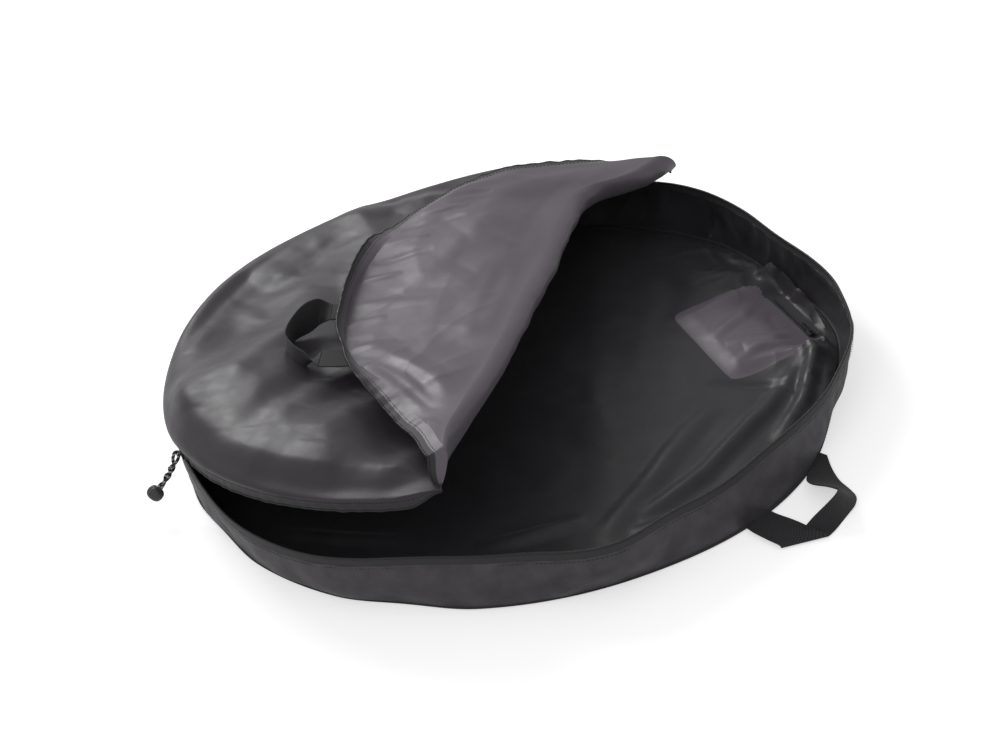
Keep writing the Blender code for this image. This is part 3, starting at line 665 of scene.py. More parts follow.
def ways_across(path, wrap=False):
    """Two directions across a path, the first level and the second upright."""
    if wrap:
        ahead = unit(np.roll(path, -1, axis=0) - np.roll(path, 1, axis=0))
    else:
        ahead = unit(np.gradient(path, axis=0))
    side = unit(np.cross(ahead, UP) + 1e-9)
    return side, np.cross(side, ahead)


# %% Rings joined into one skin
def face_out(made):
    """Turns a closed mesh so that its faces point outwards, by its volume's sign."""
    mesh = made.data
    mesh.calc_loop_triangles()
    corners = np.empty(len(mesh.loop_triangles) * 3, np.int32)
    mesh.loop_triangles.foreach_get("vertices", corners)
    points = np.empty(len(mesh.vertices) * 3)
    mesh.vertices.foreach_get("co", points)
    triangles = points.reshape(-1, 3)[corners.reshape(-1, 3)]
    if np.linalg.det(triangles).sum() < 0:
        mesh.flip_normals()


def ring_mesh(name, rings, run, flat, materials, wrap=False, sharp_deg=40):
    """Joins rings of points into one closed skin.

    run holds each ring's metres along, and flat each side's metres round, with one
    more value for the side where the ring closes.
    """
    count, sides = rings.shape[:2]
    quads = grid_faces(count, sides + 1, wrap)
    rows, cols = np.divmod(quads, sides + 1)
    woven = np.stack([run[rows % count], flat[cols]], axis=-1).reshape(-1, 2)
    faces = (rows * sides + cols % sides).tolist()
    if not wrap:
        faces.append(list(range(sides))[::-1])
        faces.append(list(range((count - 1) * sides, count * sides)))
        caps = np.stack([np.tile(flat[:-1], 2)] * 2, axis=1)
        woven = np.concatenate([woven, caps])
    points = rings.reshape(-1, 3)
    made = mesh_object(name, points, faces, materials, None, sharp_deg, woven)
    face_out(made)
    return made


# %% A tube along a path
def tube(name, path, radius, material, sides=10, wrap=False, ripple=0.0, pitch=0.0024):
    """A round or rippled tube: radius times 1 + ripple x sin(2 pi s / pitch)."""
    path = np.asarray(path, float)
    run = run_along(path)
    if ripple:
        places = np.linspace(0, run[-1], int(run[-1] / pitch * 4) + 1)
        path = np.stack([np.interp(places, run, path[:, i]) for i in range(3)], axis=1)
        run = places
    side, up = ways_across(path, wrap)
    size = radius * (1 + ripple * np.sin(2 * np.pi * run / pitch))
    turn = np.arange(sides) * 2 * np.pi / sides
    circle = np.cos(turn)[None, :, None] * side[:, None] + np.sin(turn)[None, :, None] * up[:, None]
    rings = path[:, None] + circle * size[:, None, None]
    flat = radius * np.arange(sides + 1) * 2 * np.pi / sides
    return ring_mesh(name, rings, run, flat, [material], wrap, 60)


# %% The seam of wall and foot
BINDING_R, BINDING_OUT, BINDING_Z = 0.0022, 0.0005, 0.0026
round_foot = np.arange(0, 360, 1.0)
seam_path = polar(foot_radius(round_foot) + BINDING_OUT, round_foot, BINDING_Z)
seam = tube("base_binding", seam_path, BINDING_R, BINDING, wrap=True)
settle(seam, "base", "binding", "base_seam")

# %% [markdown]
# ## The floor
# The floor is a loose lining. It lies flat under the lid, bunches against the wall
# on the right and runs in long soft folds beside the wall across the open part.

# %% The pocket's place on the floor
POCKET_DEG, POCKET_TURN_DEG, POCKET_FROM_EDGE = -35.3, 7.6, 0.039
POCKET_MIDDLE = polar(BASE_R - POCKET_FROM_EDGE, POCKET_DEG)
POCKET_IN = -polar(1.0, POCKET_DEG + POCKET_TURN_DEG)
POCKET_AHEAD = np.array([-POCKET_IN[1], POCKET_IN[0], 0.0])


def zip_clear(x, y):
    """0 along the pocket's zip, where the lining lies flat, and 1 away from it."""
    run = (x - POCKET_MIDDLE[0]) * POCKET_AHEAD[0] + (y - POCKET_MIDDLE[1]) * POCKET_AHEAD[1]
    reach = (x - POCKET_MIDDLE[0]) * POCKET_IN[0] + (y - POCKET_MIDDLE[1]) * POCKET_IN[1]
    beside = smooth(reach, 0.02, 0.11) + smooth(-reach, 0.014, 0.026)
    return beside + smooth(np.abs(run), 0.060, 0.085)


print("pocket at", POCKET_MIDDLE.round(4))

# %% The floor's folds
FLOOR_Z, FLOOR_DEEPEST = 0.0018, -0.002
BANK_AT, BANK_HALF = 325, 60
FOLDS_AT = math.radians(35)
FLOOR_FOLDS = (
    (((-0.150, -0.300), (-0.060, -0.345), (0.027, -0.358), (0.110, -0.355)), 0.020, 0.012),
    (((-0.127, -0.286), (-0.025, -0.300), (0.099, -0.290), (0.186, -0.274)), 0.018, 0.011),
    (((0.060, -0.336), (0.139, -0.318), (0.215, -0.282), (0.262, -0.230)), 0.016, 0.012),
    (((-0.175, -0.276), (-0.095, -0.262), (0.019, -0.240), (0.090, -0.230)), 0.022, 0.006),
    (((0.190, -0.200), (0.240, -0.245), (0.262, -0.290)), 0.014, 0.009),
    (((0.120, -0.200), (0.150, -0.260), (0.160, -0.320)), 0.013, -0.005),
    (((-0.340, 0.050), (-0.310, -0.020), (-0.270, -0.095)), 0.016, 0.006),
    (((-0.247, -0.160), (-0.195, -0.205), (-0.154, -0.240)), 0.018, 0.006),
    (((0.345, -0.110), (0.340, -0.165), (0.315, -0.215), (0.270, -0.270)), 0.014, 0.018),
    (((0.330, -0.120), (0.352, -0.140)), 0.009, 0.008),
    (((0.318, -0.170), (0.342, -0.190)), 0.009, -0.010),
    (((0.296, -0.212), (0.322, -0.236)), 0.008, 0.008),
)


def floor_height(x, y):
    """Folds of the loose lining: known ridges, a bank by the wall, and slow noise.

    The noise is stretched along FOLDS_AT, because the lining bunches in that direction.
    All of it fades at the pocket's zip and at the wall, where the lining is sewn.
    """
    radius = np.hypot(x, y)
    degrees = np.degrees(np.arctan2(y, x)) % 360
    right = bell((degrees - BANK_AT + 180) % 360 - 180, BANK_HALF)
    ahead = x * math.cos(FOLDS_AT) + y * math.sin(FOLDS_AT)
    across = -x * math.sin(FOLDS_AT) + y * math.cos(FOLDS_AT)
    open_part = smooth(-across, 0.0, 0.12)
    slow = 0.5 + 0.5 * noise(ahead * 0.45, across * 1.6, 0.085, 41)
    fine = 0.5 + 0.5 * noise(x, y, 0.035, 42)
    near_wall = smooth(radius, 0.27, 0.37)
    height = open_part * (0.004 * slow + 0.001 * fine + 0.003 * (1 + facets(x, y, 0.07, 43)))
    height = height + np.maximum(folds_of(x, y, FLOOR_FOLDS), FLOOR_DEEPEST - height)
    height = height + near_wall * right * (0.003 + 0.008 * slow)
    height = height + near_wall * right * 0.004 * crease(x, y, 0.035, 44)
    height = height * np.clip(zip_clear(x, y), 0, 1) * smooth(-radius, -0.384, -0.366)
    return FLOOR_Z + height + 0.0015 * smooth(radius, 0.36, 0.384)


front_line = floor_height(np.linspace(-0.1, 0.2, 200), -0.3)
print("floor's folds up to %.1f mm near the front" % (1000 * front_line.max()))

# %% The floor lining
LINING = 0.0008
FLOOR_INSET = 0.003


def floor_grid():
    """Rings that close on themselves, each a share of the foot's radius."""
    around = np.arange(0, 360, 0.75)[:, None]
    share = np.linspace(1, CENTRE_SHARE, 110)[None, :]
    flat = polar((foot_radius(around) - FLOOR_INSET) * share, around + 0 * share)
    flat[..., 2] = floor_height(flat[..., 0], flat[..., 1])
    return flat


# Both faces of the floor take the darker copy of the lining, whose colour is painted shade.
floor_lining = sheet("floor_lining", floor_grid(), LINING, [NYLON_LINING_PAINTED_SHADE, NYLON_LINING_PAINTED_SHADE], wrap=True)
settle(floor_lining, "base", "floor_lining", "base_panel")

# %% [markdown]
# ## The lid
# The lid keeps the bulge it was packed to: a slack top, a soft crest some way in from
# the zip, and a side that falls to it. The flat it bulges from is a tilted plane, and
# seen in section its shoulder is a quarter of an ellipse.
# The crease's own directions come first: along it, back over the lid, and up.

# %% The crease's directions
LID_DRAWN_IN = 0.024
ALONG_FLAT = polar(1.0, FOLD_DEG)
BACK = polar(1.0, FOLD_DEG + 90)
FOLD_SLOPE = float(LID_SLOPE @ ALONG_FLAT[:2])
AHEAD = ALONG_FLAT + [0, 0, FOLD_SLOPE]
ALONG = unit(AHEAD)
RISE = np.cross(ALONG, BACK)


def lid_plane(x, y):
    """The tilted plane of the lid's top: its height in the middle plus slope x place."""
    return LID_TOP_Z + LID_SLOPE[0] * x + LID_SLOPE[1] * y


FOLD_FOOT = FOLD_OFFSET * BACK
FOLD_FOOT = FOLD_FOOT + [0, 0, lid_plane(FOLD_FOOT[0], FOLD_FOOT[1])]
STRIP_TOP = FOLD_FOOT + FOLD_W * RISE
DROOP = math.radians(FLAP_DROOP_DEG)
OVER = math.cos(DROOP) * BACK - math.sin(DROOP) * RISE
INNER_UP = np.cross(ALONG, OVER)
LEFT_END = -math.sqrt((RIM_R - LID_DRAWN_IN) ** 2 - FOLD_OFFSET**2)
RIGHT_END = math.sqrt(RIM_R**2 - FOLD_OFFSET**2)
FOLD_LEFT = FOLD_DEG + math.degrees(math.atan2(FOLD_OFFSET, LEFT_END)) % 360
FOLD_RIGHT = FOLD_DEG + math.degrees(math.atan2(FOLD_OFFSET, RIGHT_END))
print("fold from %.2f to %.2f degrees" % (FOLD_RIGHT, FOLD_LEFT))

# %% [markdown]
# ## The line of the crease
# The crease is not straight: from the left it draws back over the lid, and near the
# right end it swings forward into a rounded lobe. One table gives how far back the
# cloth leaves the lid, at places from 0 at the left end to 1 at the right.

# %% The line of the crease
DRAWN_BACK = (
    (0.00, 0.000), (0.03, 0.008), (0.12, 0.015), (0.25, 0.020), (0.41, 0.034),
    (0.58, 0.049), (0.74, 0.068), (0.83, 0.072), (0.865, 0.061), (0.89, 0.042),
    (0.915, 0.025), (0.95, 0.012), (1.00, 0.000),
)
ROLL_BULGE = (
    (0.0, 0.005), (0.12, 0.010), (0.41, 0.014), (0.74, 0.0175), (0.9, 0.020), (1.0, 0.017),
)


def through(x, table):
    """A smooth line through (place, value) pairs: cubics whose slopes meet."""
    places, values = np.array(table, float).T
    slopes = np.gradient(values, places)
    k = np.clip(np.searchsorted(places, x) - 1, 0, len(places) - 2)
    wide = places[k + 1] - places[k]
    t = np.clip((x - places[k]) / wide, 0, 1)
    ends = values[k] * (1 + 2 * t) * (1 - t) ** 2 + values[k + 1] * t * t * (3 - 2 * t)
    return ends + wide * (slopes[k] * t * (1 - t) ** 2 + slopes[k + 1] * t * t * (t - 1))


def drawn_back(step):
    """How far back the cloth leaves the lid, and 0 at both ends of the crease."""
    return through(np.clip(step, 0, 1), DRAWN_BACK) * (step > 0) * (step < 1)


def lid_step(x, y):
    """The place along the lid's side of the crease, 0 to 1, for a point below."""
    along = x * ALONG_FLAT[0] + y * ALONG_FLAT[1]
    return (along - LEFT_END) / (RIGHT_END - LEFT_END)


print("crease drawn back by up to %.3f m" % drawn_back(np.linspace(0, 1, 200)).max())

# %% The lid's edge
LID_RAISED = 0.043
LID_HILLS = ((72, 38, -0.021),)
FREE_EDGE = 153.0
NEAR_FOLD = 0.05


def free_share(degrees):
    """0 where the lid's loose edge starts, 1 at the left end of the crease."""
    return np.clip((degrees - FREE_EDGE) / (FOLD_LEFT - FREE_EDGE), 0, 1)


def lid_edge_radius(degrees):
    """The rim's radius, drawn in with the cube of the loose edge's share."""
    return RIM_R - LID_DRAWN_IN * free_share(degrees) ** 3


def behind_fold(x, y, drawn=0.0):
    """The distance behind the crease: the share of BACK in a place, less its offset."""
    return x * BACK[0] + y * BACK[1] - FOLD_OFFSET - drawn


def near_fold(x, y, drawn=0.0):
    """1 on the crease, falling to 0 at 50 mm behind it."""
    return smooth(-behind_fold(x, y, drawn), -NEAR_FOLD, 0.0)


def lid_edge_height(degrees):
    """Raised towards the fold, dipped at the back, and on the plane at the crease."""
    raised = LID_RAISED * np.sin(np.pi / 2 * free_share(degrees))
    free = LID_EDGE_Z + raised + hills(degrees, LID_HILLS)
    spot = polar(lid_edge_radius(degrees), degrees)
    x, y = spot[..., 0], spot[..., 1]
    return free + (lid_plane(x, y) - free) * near_fold(x, y)


print("lid's edge up to %.3f m" % lid_edge_height(np.linspace(FOLD_RIGHT, FOLD_LEFT, 99)).max())

# %% [markdown]
# ## The lid's folds
# The folds that the cloth keeps are drawn one by one: a line of places in metres, a
# half width and a height, below zero for a furrow. The rest is crest, hollow, sag and
# the flat patches of slack cloth. All of it fades at the edge and at the crease.

# %% The lid's folds
SHOULDER = 0.045
CREST_H, CREST_WIDE, CREST_STARTS = 0.019, 0.165, (120, 160)
LID_FOLDS = (
    (((-0.340, 0.130), (-0.250, 0.150), (-0.150, 0.200)), 0.035, 0.005),
    (((-0.330, 0.215), (-0.220, 0.240), (-0.110, 0.320)), 0.030, -0.003),
    (((-0.345, 0.040), (-0.290, 0.060), (-0.200, 0.070)), 0.028, -0.004),
    (((-0.290, 0.020), (-0.235, 0.045), (-0.180, 0.030)), 0.024, 0.004),
    (((-0.130, 0.330), (-0.050, 0.300), (0.060, 0.310)), 0.035, -0.004),
    (((-0.255, 0.265), (-0.190, 0.300)), 0.016, 0.003),
    (((0.080, 0.340), (0.180, 0.280), (0.260, 0.200)), 0.030, 0.005),
)
HOLLOW_AT, HOLLOW_HALF, HOLLOW_DEEP = (-0.262, -0.105), 0.085, 0.030
SAG_AT, SAG_HALF, SAG_WIDE, SAG_DEEP = 104, 52, 0.24, 0.015


def lid_folds(x, y):
    """Slow swells, the known folds, and fine creases over the lid's top."""
    broad = 0.004 * noise(x, y, 0.14, 61) + 0.0088 * facets(x, y, 0.085, 62)
    small = 0.0022 * facets(x + 0.4 * y, y, 0.036, 64) + 0.0014 * crease(x, y, 0.16, 63)
    return broad + small + 0.0002 * noise(x, y, 0.02, 65) + folds_of(x, y, LID_FOLDS)


def lid_crest(x, y, inward):
    """A crest in from the zip, a hollow beside the flap and a sag behind.

    Crest and sag are sin(pi x a power of the share inward) over a stretch of angle.
    """
    degrees = np.degrees(np.arctan2(y, x)) % 360
    where = smooth(degrees, *CREST_STARTS) * smooth(inward, 0, 0.02)
    hill = np.sin(np.pi * np.clip(inward / CREST_WIDE, 0, 1) ** 0.75)
    hollow = bell(np.hypot(x - HOLLOW_AT[0], y - HOLLOW_AT[1]), HOLLOW_HALF)
    behind = bell((degrees - SAG_AT + 180) % 360 - 180, SAG_HALF)
    sag = behind * np.sin(np.pi * np.clip(inward / SAG_WIDE, 0, 1) ** 0.5)
    return CREST_H * where * hill - HOLLOW_DEEP * hollow - SAG_DEEP * sag


def lid_height(x, y):
    """Slack top, falling over the shoulder as a quarter ellipse to the edge."""
    degrees = (np.degrees(np.arctan2(y, x)) + 90) % 360 - 90
    inward = lid_edge_radius(degrees) - np.hypot(x, y)
    share = np.clip(inward / SHOULDER, 0, 1)
    edge = lid_edge_height(degrees)
    plain = edge + (lid_plane(x, y) - edge) * np.sqrt(1 - (1 - share) ** 2)
    drawn = drawn_back(lid_step(x, y))
    plain = plain + (lid_plane(x, y) - plain) * near_fold(x, y, drawn)
    keep = smooth(behind_fold(x, y, drawn), 0.002, 0.05) * smooth(inward, 0.002, 0.03)
    return plain + keep * (lid_folds(x, y) + lid_crest(x, y, inward))


print("lid's middle at %.3f m" % lid_height(-0.1, 0.1))

# %% [markdown]
# ## The lid's cloth
# Lid and lip are one grid. Its first columns run up the lip, the next go round the
# shoulder in steps that follow a cosine, and the last go in to the crease. Over the
# shoulder at the left the cloth swells outward, past its own edge.

# %% The lid's cloth
LIP_STEPS = np.linspace(LIP_H, 0, 6)[:-1]
CORNER, CORNER_DROP, CORNER_DEG = 0.004, 0.35, 5.0
PUCKER = 0.0011
SWELL, SWELL_POWER = 0.015, 0.33
SWELL_STARTS, SWELL_ENDS = (128, 160), (-228, -192)


def puckers(walked, seed):
    """Small gathers along a seam: noise whose hills are 14 mm apart."""
    return PUCKER * noise(walked, 0 * walked, 0.014, seed)


def lid_line(around, drop):
    """A line a drop below the lid's edge; the drop shortens at the crease's two ends."""
    from_end = np.minimum(around - FOLD_RIGHT, FOLD_LEFT - around)
    drop = drop * (CORNER_DROP + (1 - CORNER_DROP) * smooth(from_end, 0.0, CORNER_DEG))
    radius = lid_edge_radius(around) + puckers(np.radians(around) * RIM_R, 67) * drop / LIP_H
    return polar(radius, around, lid_edge_height(around) - drop)


# %% The lid's grid
def lid_grid():
    """Rows round the lid from right to left, columns up the lip and in to the crease.

    The swell moves a point outward by SWELL x sin(pi x its share of the shoulder to
    a power), so it is fullest just above the edge.
    """
    around = np.linspace(FOLD_RIGHT, FOLD_LEFT, 420)
    edge = lid_line(around, 0.0)[:, :2]
    share = (1 - np.cos(np.linspace(0, np.pi, len(around)))) / 2
    along = RIGHT_END - CORNER + (LEFT_END - RIGHT_END + 2 * CORNER) * share
    crease_back = drawn_back((along - LEFT_END) / (RIGHT_END - LEFT_END))
    fold = along[:, None] * ALONG_FLAT[:2] + (FOLD_OFFSET + crease_back)[:, None] * BACK[:2]
    length = np.linalg.norm(fold - edge, axis=1)
    shoulder = np.minimum(SHOULDER / np.maximum(length, 1e-6), 0.5)[:, None]
    curve = 1 - np.cos(np.linspace(0, np.pi / 2, 15))
    flat = np.linspace(0, 1, 80)[1:]
    steps = np.concatenate([shoulder * curve, shoulder + (1 - shoulder) * flat], axis=1)
    ground = edge[:, None] + (fold - edge)[:, None] * steps[..., None]
    height = lid_height(ground[..., 0], ground[..., 1])
    over_edge = np.sin(np.pi * np.clip(steps / (2 * shoulder), 0, 1) ** SWELL_POWER)
    stretch = smooth(around, *SWELL_STARTS) * smooth(-around, *SWELL_ENDS)
    over_edge = over_edge * stretch[:, None]
    ground = ground + SWELL * over_edge[..., None] * unit(ground)
    top = np.concatenate([ground, height[..., None]], axis=2)
    lip = np.stack([lid_line(around, drop) for drop in LIP_STEPS], axis=1)
    return np.concatenate([lip, top], axis=1)


lid = sheet("lid", lid_grid(), CLOTH, [NYLON_OUT, NYLON_LINING_PAINTED_SHADE])
settle(lid, "base", "nylon_shell", "lid_panel", "lid_lip")

# %% [markdown]
# ## The sewn strip behind
# Behind the zip's two ends a plain strip joins wall and lid. A real lid hinges on it.
# It is ruled straight from the rim to the lid's lip and ripples where it is slack.

# %% The sewn strip
def gusset_grid():
    """From the rim up to the lid's lip, a ruled strip with a slow ripple."""
    around = np.linspace(ZIP_END - 360, ZIP_START, 300)[:, None]
    share = np.linspace(0, 1, 12)[None, :]
    low = rim_height(around)
    high = lid_edge_height(around) - LIP_H
    radius = rim_radius(around) * (1 - share) + lid_edge_radius(around) * share
    ring = polar(RIM_R, around + 0 * share)
    ripple = 0.0022 * noise(ring[..., 0], ring[..., 1] + 0.04 * share, 0.04, 71)
    ripple = ripple + 0.0012 * noise(ring[..., 0], ring[..., 1], 0.018, 72)
    radius = radius + ripple * np.sin(np.pi * share)
    return polar(radius, around + 0 * share, low + (high - low) * share)


gusset = sheet("sewn_strip", gusset_grid(), CLOTH, [NYLON_WALL, NYLON_LINING_PAINTED_SHADE])
settle(gusset, "base", "nylon_shell", "back_gusset")

# %% [markdown]
# ## The fold and the flap
# At the crease the lid turns back over itself in a soft roll. In section the roll is
# half an oval, widest near its top, and it is made as a lower and an upper half that
# stay as they are built. Beyond it the flap lies with its shiny inner face up,
# its edge strip standing, lying or hanging as the cloth happens to fall.
# The first table gives the edge's radius over the angle, in degrees and metres. The
# second gives how steeply the edge strip stands on it, in degrees.

# %% The flap's outline
FLAP_EDGE = (
    (205, 0.3640), (212, 0.3625), (218.8, 0.3595), (224.5, 0.3430), (232.7, 0.3310),
    (243.4, 0.3280), (256.7, 0.3460), (266, 0.3560), (274.4, 0.3610), (282.5, 0.3665),
    (289, 0.3695), (296, 0.3730), (303, 0.3780), (309, 0.3810), (316, 0.3810), (323, 0.3820),
    (329, 0.3800), (335, 0.3765), (340, 0.3690), (346, 0.3625), (352, 0.3600), (358, 0.3585),
    (366, 0.3560), (380, 0.3560),
)
EDGE_LEAN_DEG = (
    (205, -30), (212, -20), (225, -14), (234, -18), (244, -10), (251, 30), (259, 70), (267, 76),
    (288, 74), (296, 45), (304, 0), (312, -17), (321, -17), (329, -4), (340, 2), (348, -10),
    (356, -45), (366, -65), (380, -65),
)
FLAP_ROOT = FOLD_OFFSET - FOLD_W


def flap_place(points):
    """Where a closed point lies on the flap: along the fold, over from it."""
    return points @ ALONG_FLAT[:2], FLAP_ROOT - points @ BACK[:2]


def flap_outline(count=360):
    """The edge where the table crosses the root on both sides, evenly spaced."""
    around = np.linspace(FLAP_EDGE[0][0], FLAP_EDGE[-1][0], 6000)
    along, over = flap_place(polar(through(around, FLAP_EDGE), around)[:, :2])
    inside = np.flatnonzero(over >= 0)
    around = np.linspace(around[inside[0]], around[inside[-1]], count)
    along, over = flap_place(polar(through(around, FLAP_EDGE), around)[:, :2])
    over = np.maximum(over, 0)
    ahead = unit(np.stack([np.gradient(along), np.gradient(over)], axis=1))
    outward = np.stack([-ahead[:, 1], ahead[:, 0]], axis=1)
    lean = np.radians(through(around, EDGE_LEAN_DEG))
    return around, along, over, outward, lean


FLAP_AROUND, FLAP_ALONG, FLAP_OVER, FLAP_OUTWARD, FLAP_LEAN = flap_outline()
print("flap root from %.4f to %.4f" % (FLAP_ALONG[0], FLAP_ALONG[-1]))


def on_flap(along, over, inner):
    """A point of the open flap, raised to its inner side."""
    along, over, inner = (np.asarray(v, float)[..., None] for v in (along, over, inner))
    return STRIP_TOP + along * AHEAD + over * OVER + inner * INNER_UP


# %% [markdown]
# ## The flap's folds
# The sewn edge is shorter than the cloth, so short creases run in from it, all the
# same way. Each row gives such a crease's angle on the edge, its length, half width and
# height. The known folds are lines again, in metres along and over from the root.

# %% The flap's folds
LIFT_H, LIFT_AT, LIFT_HALF = 0.018, 318, 50
PINCH_WAY, PINCH_IN = np.array([0.45, -0.89]), 0.004
SLANT = (0.5, 0.87)
PINCHES = (
    (262, 0.050, 0.012, 0.0016), (272, 0.045, 0.010, 0.0012), (280, 0.060, 0.012, -0.0016),
    (287, 0.050, 0.009, 0.0018), (293, 0.075, 0.011, -0.0020), (299, 0.055, 0.009, 0.0022),
    (305, 0.080, 0.011, -0.0022), (311, 0.060, 0.010, 0.0022), (318, 0.055, 0.010, -0.0014),
)
FLAP_FOLDS = (
    (((-0.150, 0.185), (-0.183, 0.118), (-0.215, 0.066), (-0.245, 0.030)), 0.021, 0.0085),
    (((-0.172, 0.159), (-0.205, 0.105), (-0.228, 0.072), (-0.254, 0.040)), 0.013, -0.0045),
    (((-0.195, 0.160), (-0.236, 0.106), (-0.262, 0.069), (-0.285, 0.040)), 0.011, 0.0040),
    (((-0.069, 0.217), (-0.060, 0.180), (-0.052, 0.134)), 0.014, 0.0030),
    (((0.082, 0.264), (0.095, 0.245), (0.110, 0.215)), 0.013, 0.0030),
    (((0.060, 0.078), (0.140, 0.094), (0.214, 0.094), (0.260, 0.080)), 0.017, -0.0040),
    (((-0.110, 0.060), (-0.030, 0.073), (0.055, 0.086)), 0.016, -0.0035),
    (((-0.040, 0.190), (0.030, 0.160), (0.120, 0.150)), 0.030, 0.0040),
    (((0.100, 0.200), (0.190, 0.150), (0.290, 0.080)), 0.026, 0.0045),
    (((0.200, 0.190), (0.260, 0.130), (0.310, 0.060)), 0.018, -0.0035),
)


def flap_lift(along, over):
    """The flap rides up at its far right edge, as over something soft."""
    spot = along[..., None] * ALONG_FLAT[:2] + (FLAP_ROOT - over)[..., None] * BACK[:2]
    turn = np.degrees(np.arctan2(spot[..., 1], spot[..., 0])) % 360
    out = np.hypot(spot[..., 0], spot[..., 1])
    return LIFT_H * bell(turn - LIFT_AT, LIFT_HALF) * smooth(out, 0.10, 0.36)


def pinches(along, over):
    """Short creases that run in from the sewn edge, all the same way."""
    total = 0.0
    for degrees, length, half, height in PINCHES:
        start = polar(through(degrees, FLAP_EDGE) - PINCH_IN, degrees)[:2]
        start = np.array(flap_place(start))
        line = (start, start + PINCH_WAY * length)
        total = total + height * ridge(along, over, line, half)
    return total


def flap_height(along, over):
    """Lift, known folds, pinches, slow swells and fine creases, nothing at the root."""
    slant = along * SLANT[0] + over * SLANT[1]
    cross = -along * SLANT[1] + over * SLANT[0]
    wave = 0.0030 * noise(slant, cross * 0.4, 0.10, 81) + 0.0055 * facets(slant, cross, 0.09, 84)
    fine = 0.0002 * noise(along, over, 0.02, 83) + 0.0016 * facets(along, over, 0.035, 85)
    known = 0.35 * folds_of(along, over, FLAP_FOLDS) + pinches(along, over)
    known = known + 0.0012 * crease(slant, 0.5 * cross, 0.05, 86) * smooth(-along, -0.05, 0.15)
    step = (along - FLAP_ALONG[0]) / (FLAP_ALONG[-1] - FLAP_ALONG[0])
    past = over - drawn_back(step)
    keep = smooth(past, 0.0, 0.045)
    return keep * (wave + fine + known) + smooth(past, 0.0, 0.09) * flap_lift(along, over)


print("flap's middle %.4f m off its plane" % flap_height(np.array(0.05), np.array(0.15)))

# %% [markdown]
# ## The roll
# One parameter goes along the crease and one, a turn from 0 at the lid to pi at the
# flap, goes round the roll. At both ends lip, tape and coil go on round the roll.

# %% The roll's form
ROLL_R = FOLD_W / 2
HANG = 0.6
TUCK, TUCK_OUT = 1.6, 0.4
HALF_WAY = FOLD_FOOT + ROLL_R * RISE
ROLL_HALVES = (
    ("lower", 0, np.pi / 2, ("base", "fold"), FOLD_FOOT, HALF_WAY),
    ("upper", np.pi / 2, np.pi, ("fold", "flap"), HALF_WAY, STRIP_TOP),
)


def lopsided(step, turn):
    """How far out the roll stands, and its slope: sin(t) (1 - k cos(t)).

    It is widest high up, but for the right end, where k fades and the roll is round.
    """
    k = HANG * smooth(-step, -0.95, -0.70)
    return np.sin(turn) * (1 - k * np.cos(turn)), np.cos(turn) - k * np.cos(2 * turn)


def roll_out(step, turn):
    """The way out of the roll, square to its section: the slope turned by 90 degrees."""
    bulge = (through(step, ROLL_BULGE) * lopsided(step, turn)[1])[..., None]
    return unit(-ROLL_R * np.sin(turn)[..., None] * BACK - bulge * RISE)


def roll_point(step, turn, out=0.0):
    """A point on the roll: turn 0 at the lid, pi at the flap.

    Along the fold it keeps its share of the width. Across, it is the crease's line
    less bulge x the lopsided curve, and up it is radius x (1 - cos(turn)).
    """
    step, turn = np.broadcast_arrays(np.asarray(step, float), np.asarray(turn, float))
    share = turn / np.pi
    left = LEFT_END + (FLAP_ALONG[0] - LEFT_END) * share
    right = RIGHT_END + (FLAP_ALONG[-1] - RIGHT_END) * share
    along = (left + (right - left) * step)[..., None]
    behind = (drawn_back(step) - through(step, ROLL_BULGE) * lopsided(step, turn)[0])[..., None]
    up = (ROLL_R * (1 - np.cos(turn)))[..., None]
    spot = FOLD_FOOT + along * AHEAD + behind * BACK + up * RISE
    return spot + np.asarray(out)[..., None] * roll_out(step, turn)


# %% The roll's ends
def roll_edge(side, turn, reach):
    """A point beyond the roll's end, on the lip, tape or coil that follows it.

    The strip drops straight down at the lid and leans as the flap's strip does at
    the flap. Between them it turns in under the roll: a curve through three ways.
    """
    turn = np.asarray(turn, float)
    end = 0 if side < 0 else -1
    spot = roll_point(np.full_like(turn, 0.0 if side < 0 else 1.0), turn)
    share = (turn / np.pi)[..., None]
    flat = FLAP_OUTWARD[end, 0] * ALONG + FLAP_OUTWARD[end, 1] * OVER
    last = math.cos(FLAP_LEAN[end]) * flat + math.sin(FLAP_LEAN[end]) * INNER_UP
    middle = TUCK * BACK + side * TUCK_OUT * ALONG
    reach = reach * (CORNER_DROP + (1 - CORNER_DROP) * smooth(share, 0.0, 0.6))
    way = (1 - share) ** 2 * np.array([0, 0, -1.0]) + share**2 * last
    return spot + reach * unit(way + 2 * share * (1 - share) * middle)


# %% The roll's cloth
def roll_grid(first, last):
    """Rows along the crease with both lips, columns round the roll, with a ripple."""
    turn = np.linspace(first, last, 15)
    step = ((1 - np.cos(np.linspace(0, np.pi, 300))) / 2)[:, None]
    taper = np.sin(turn) ** 2 * np.sin(np.pi * step) ** 0.5
    along = (LEFT_END + (RIGHT_END - LEFT_END) * step) + 0 * turn
    ripple = 0.0018 * noise(along, 0.03 * turn + 0 * along, 0.045, 91)
    ripple = ripple + 0.0007 * noise(along, 0.03 * turn + 0 * along, 0.016, 92)
    middle = roll_point(step + 0 * turn, turn + 0 * step, taper * ripple)
    left_lip = np.stack([roll_edge(-1, turn, r) for r in LIP_STEPS])
    right_lip = np.stack([roll_edge(1, turn, r) for r in LIP_STEPS[::-1]])
    return np.concatenate([left_lip, middle, right_lip])


for part, first, last, bodies, start, end in ROLL_HALVES:
    roll = sheet("roll_" + part, roll_grid(first, last), CLOTH, [NYLON_IN, NYLON_OUT])
    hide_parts("fold_strip")
    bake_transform(roll)
    print(roll.name, "between", bodies)


# %% The flap's cloth
GATHER_ENDS = 12


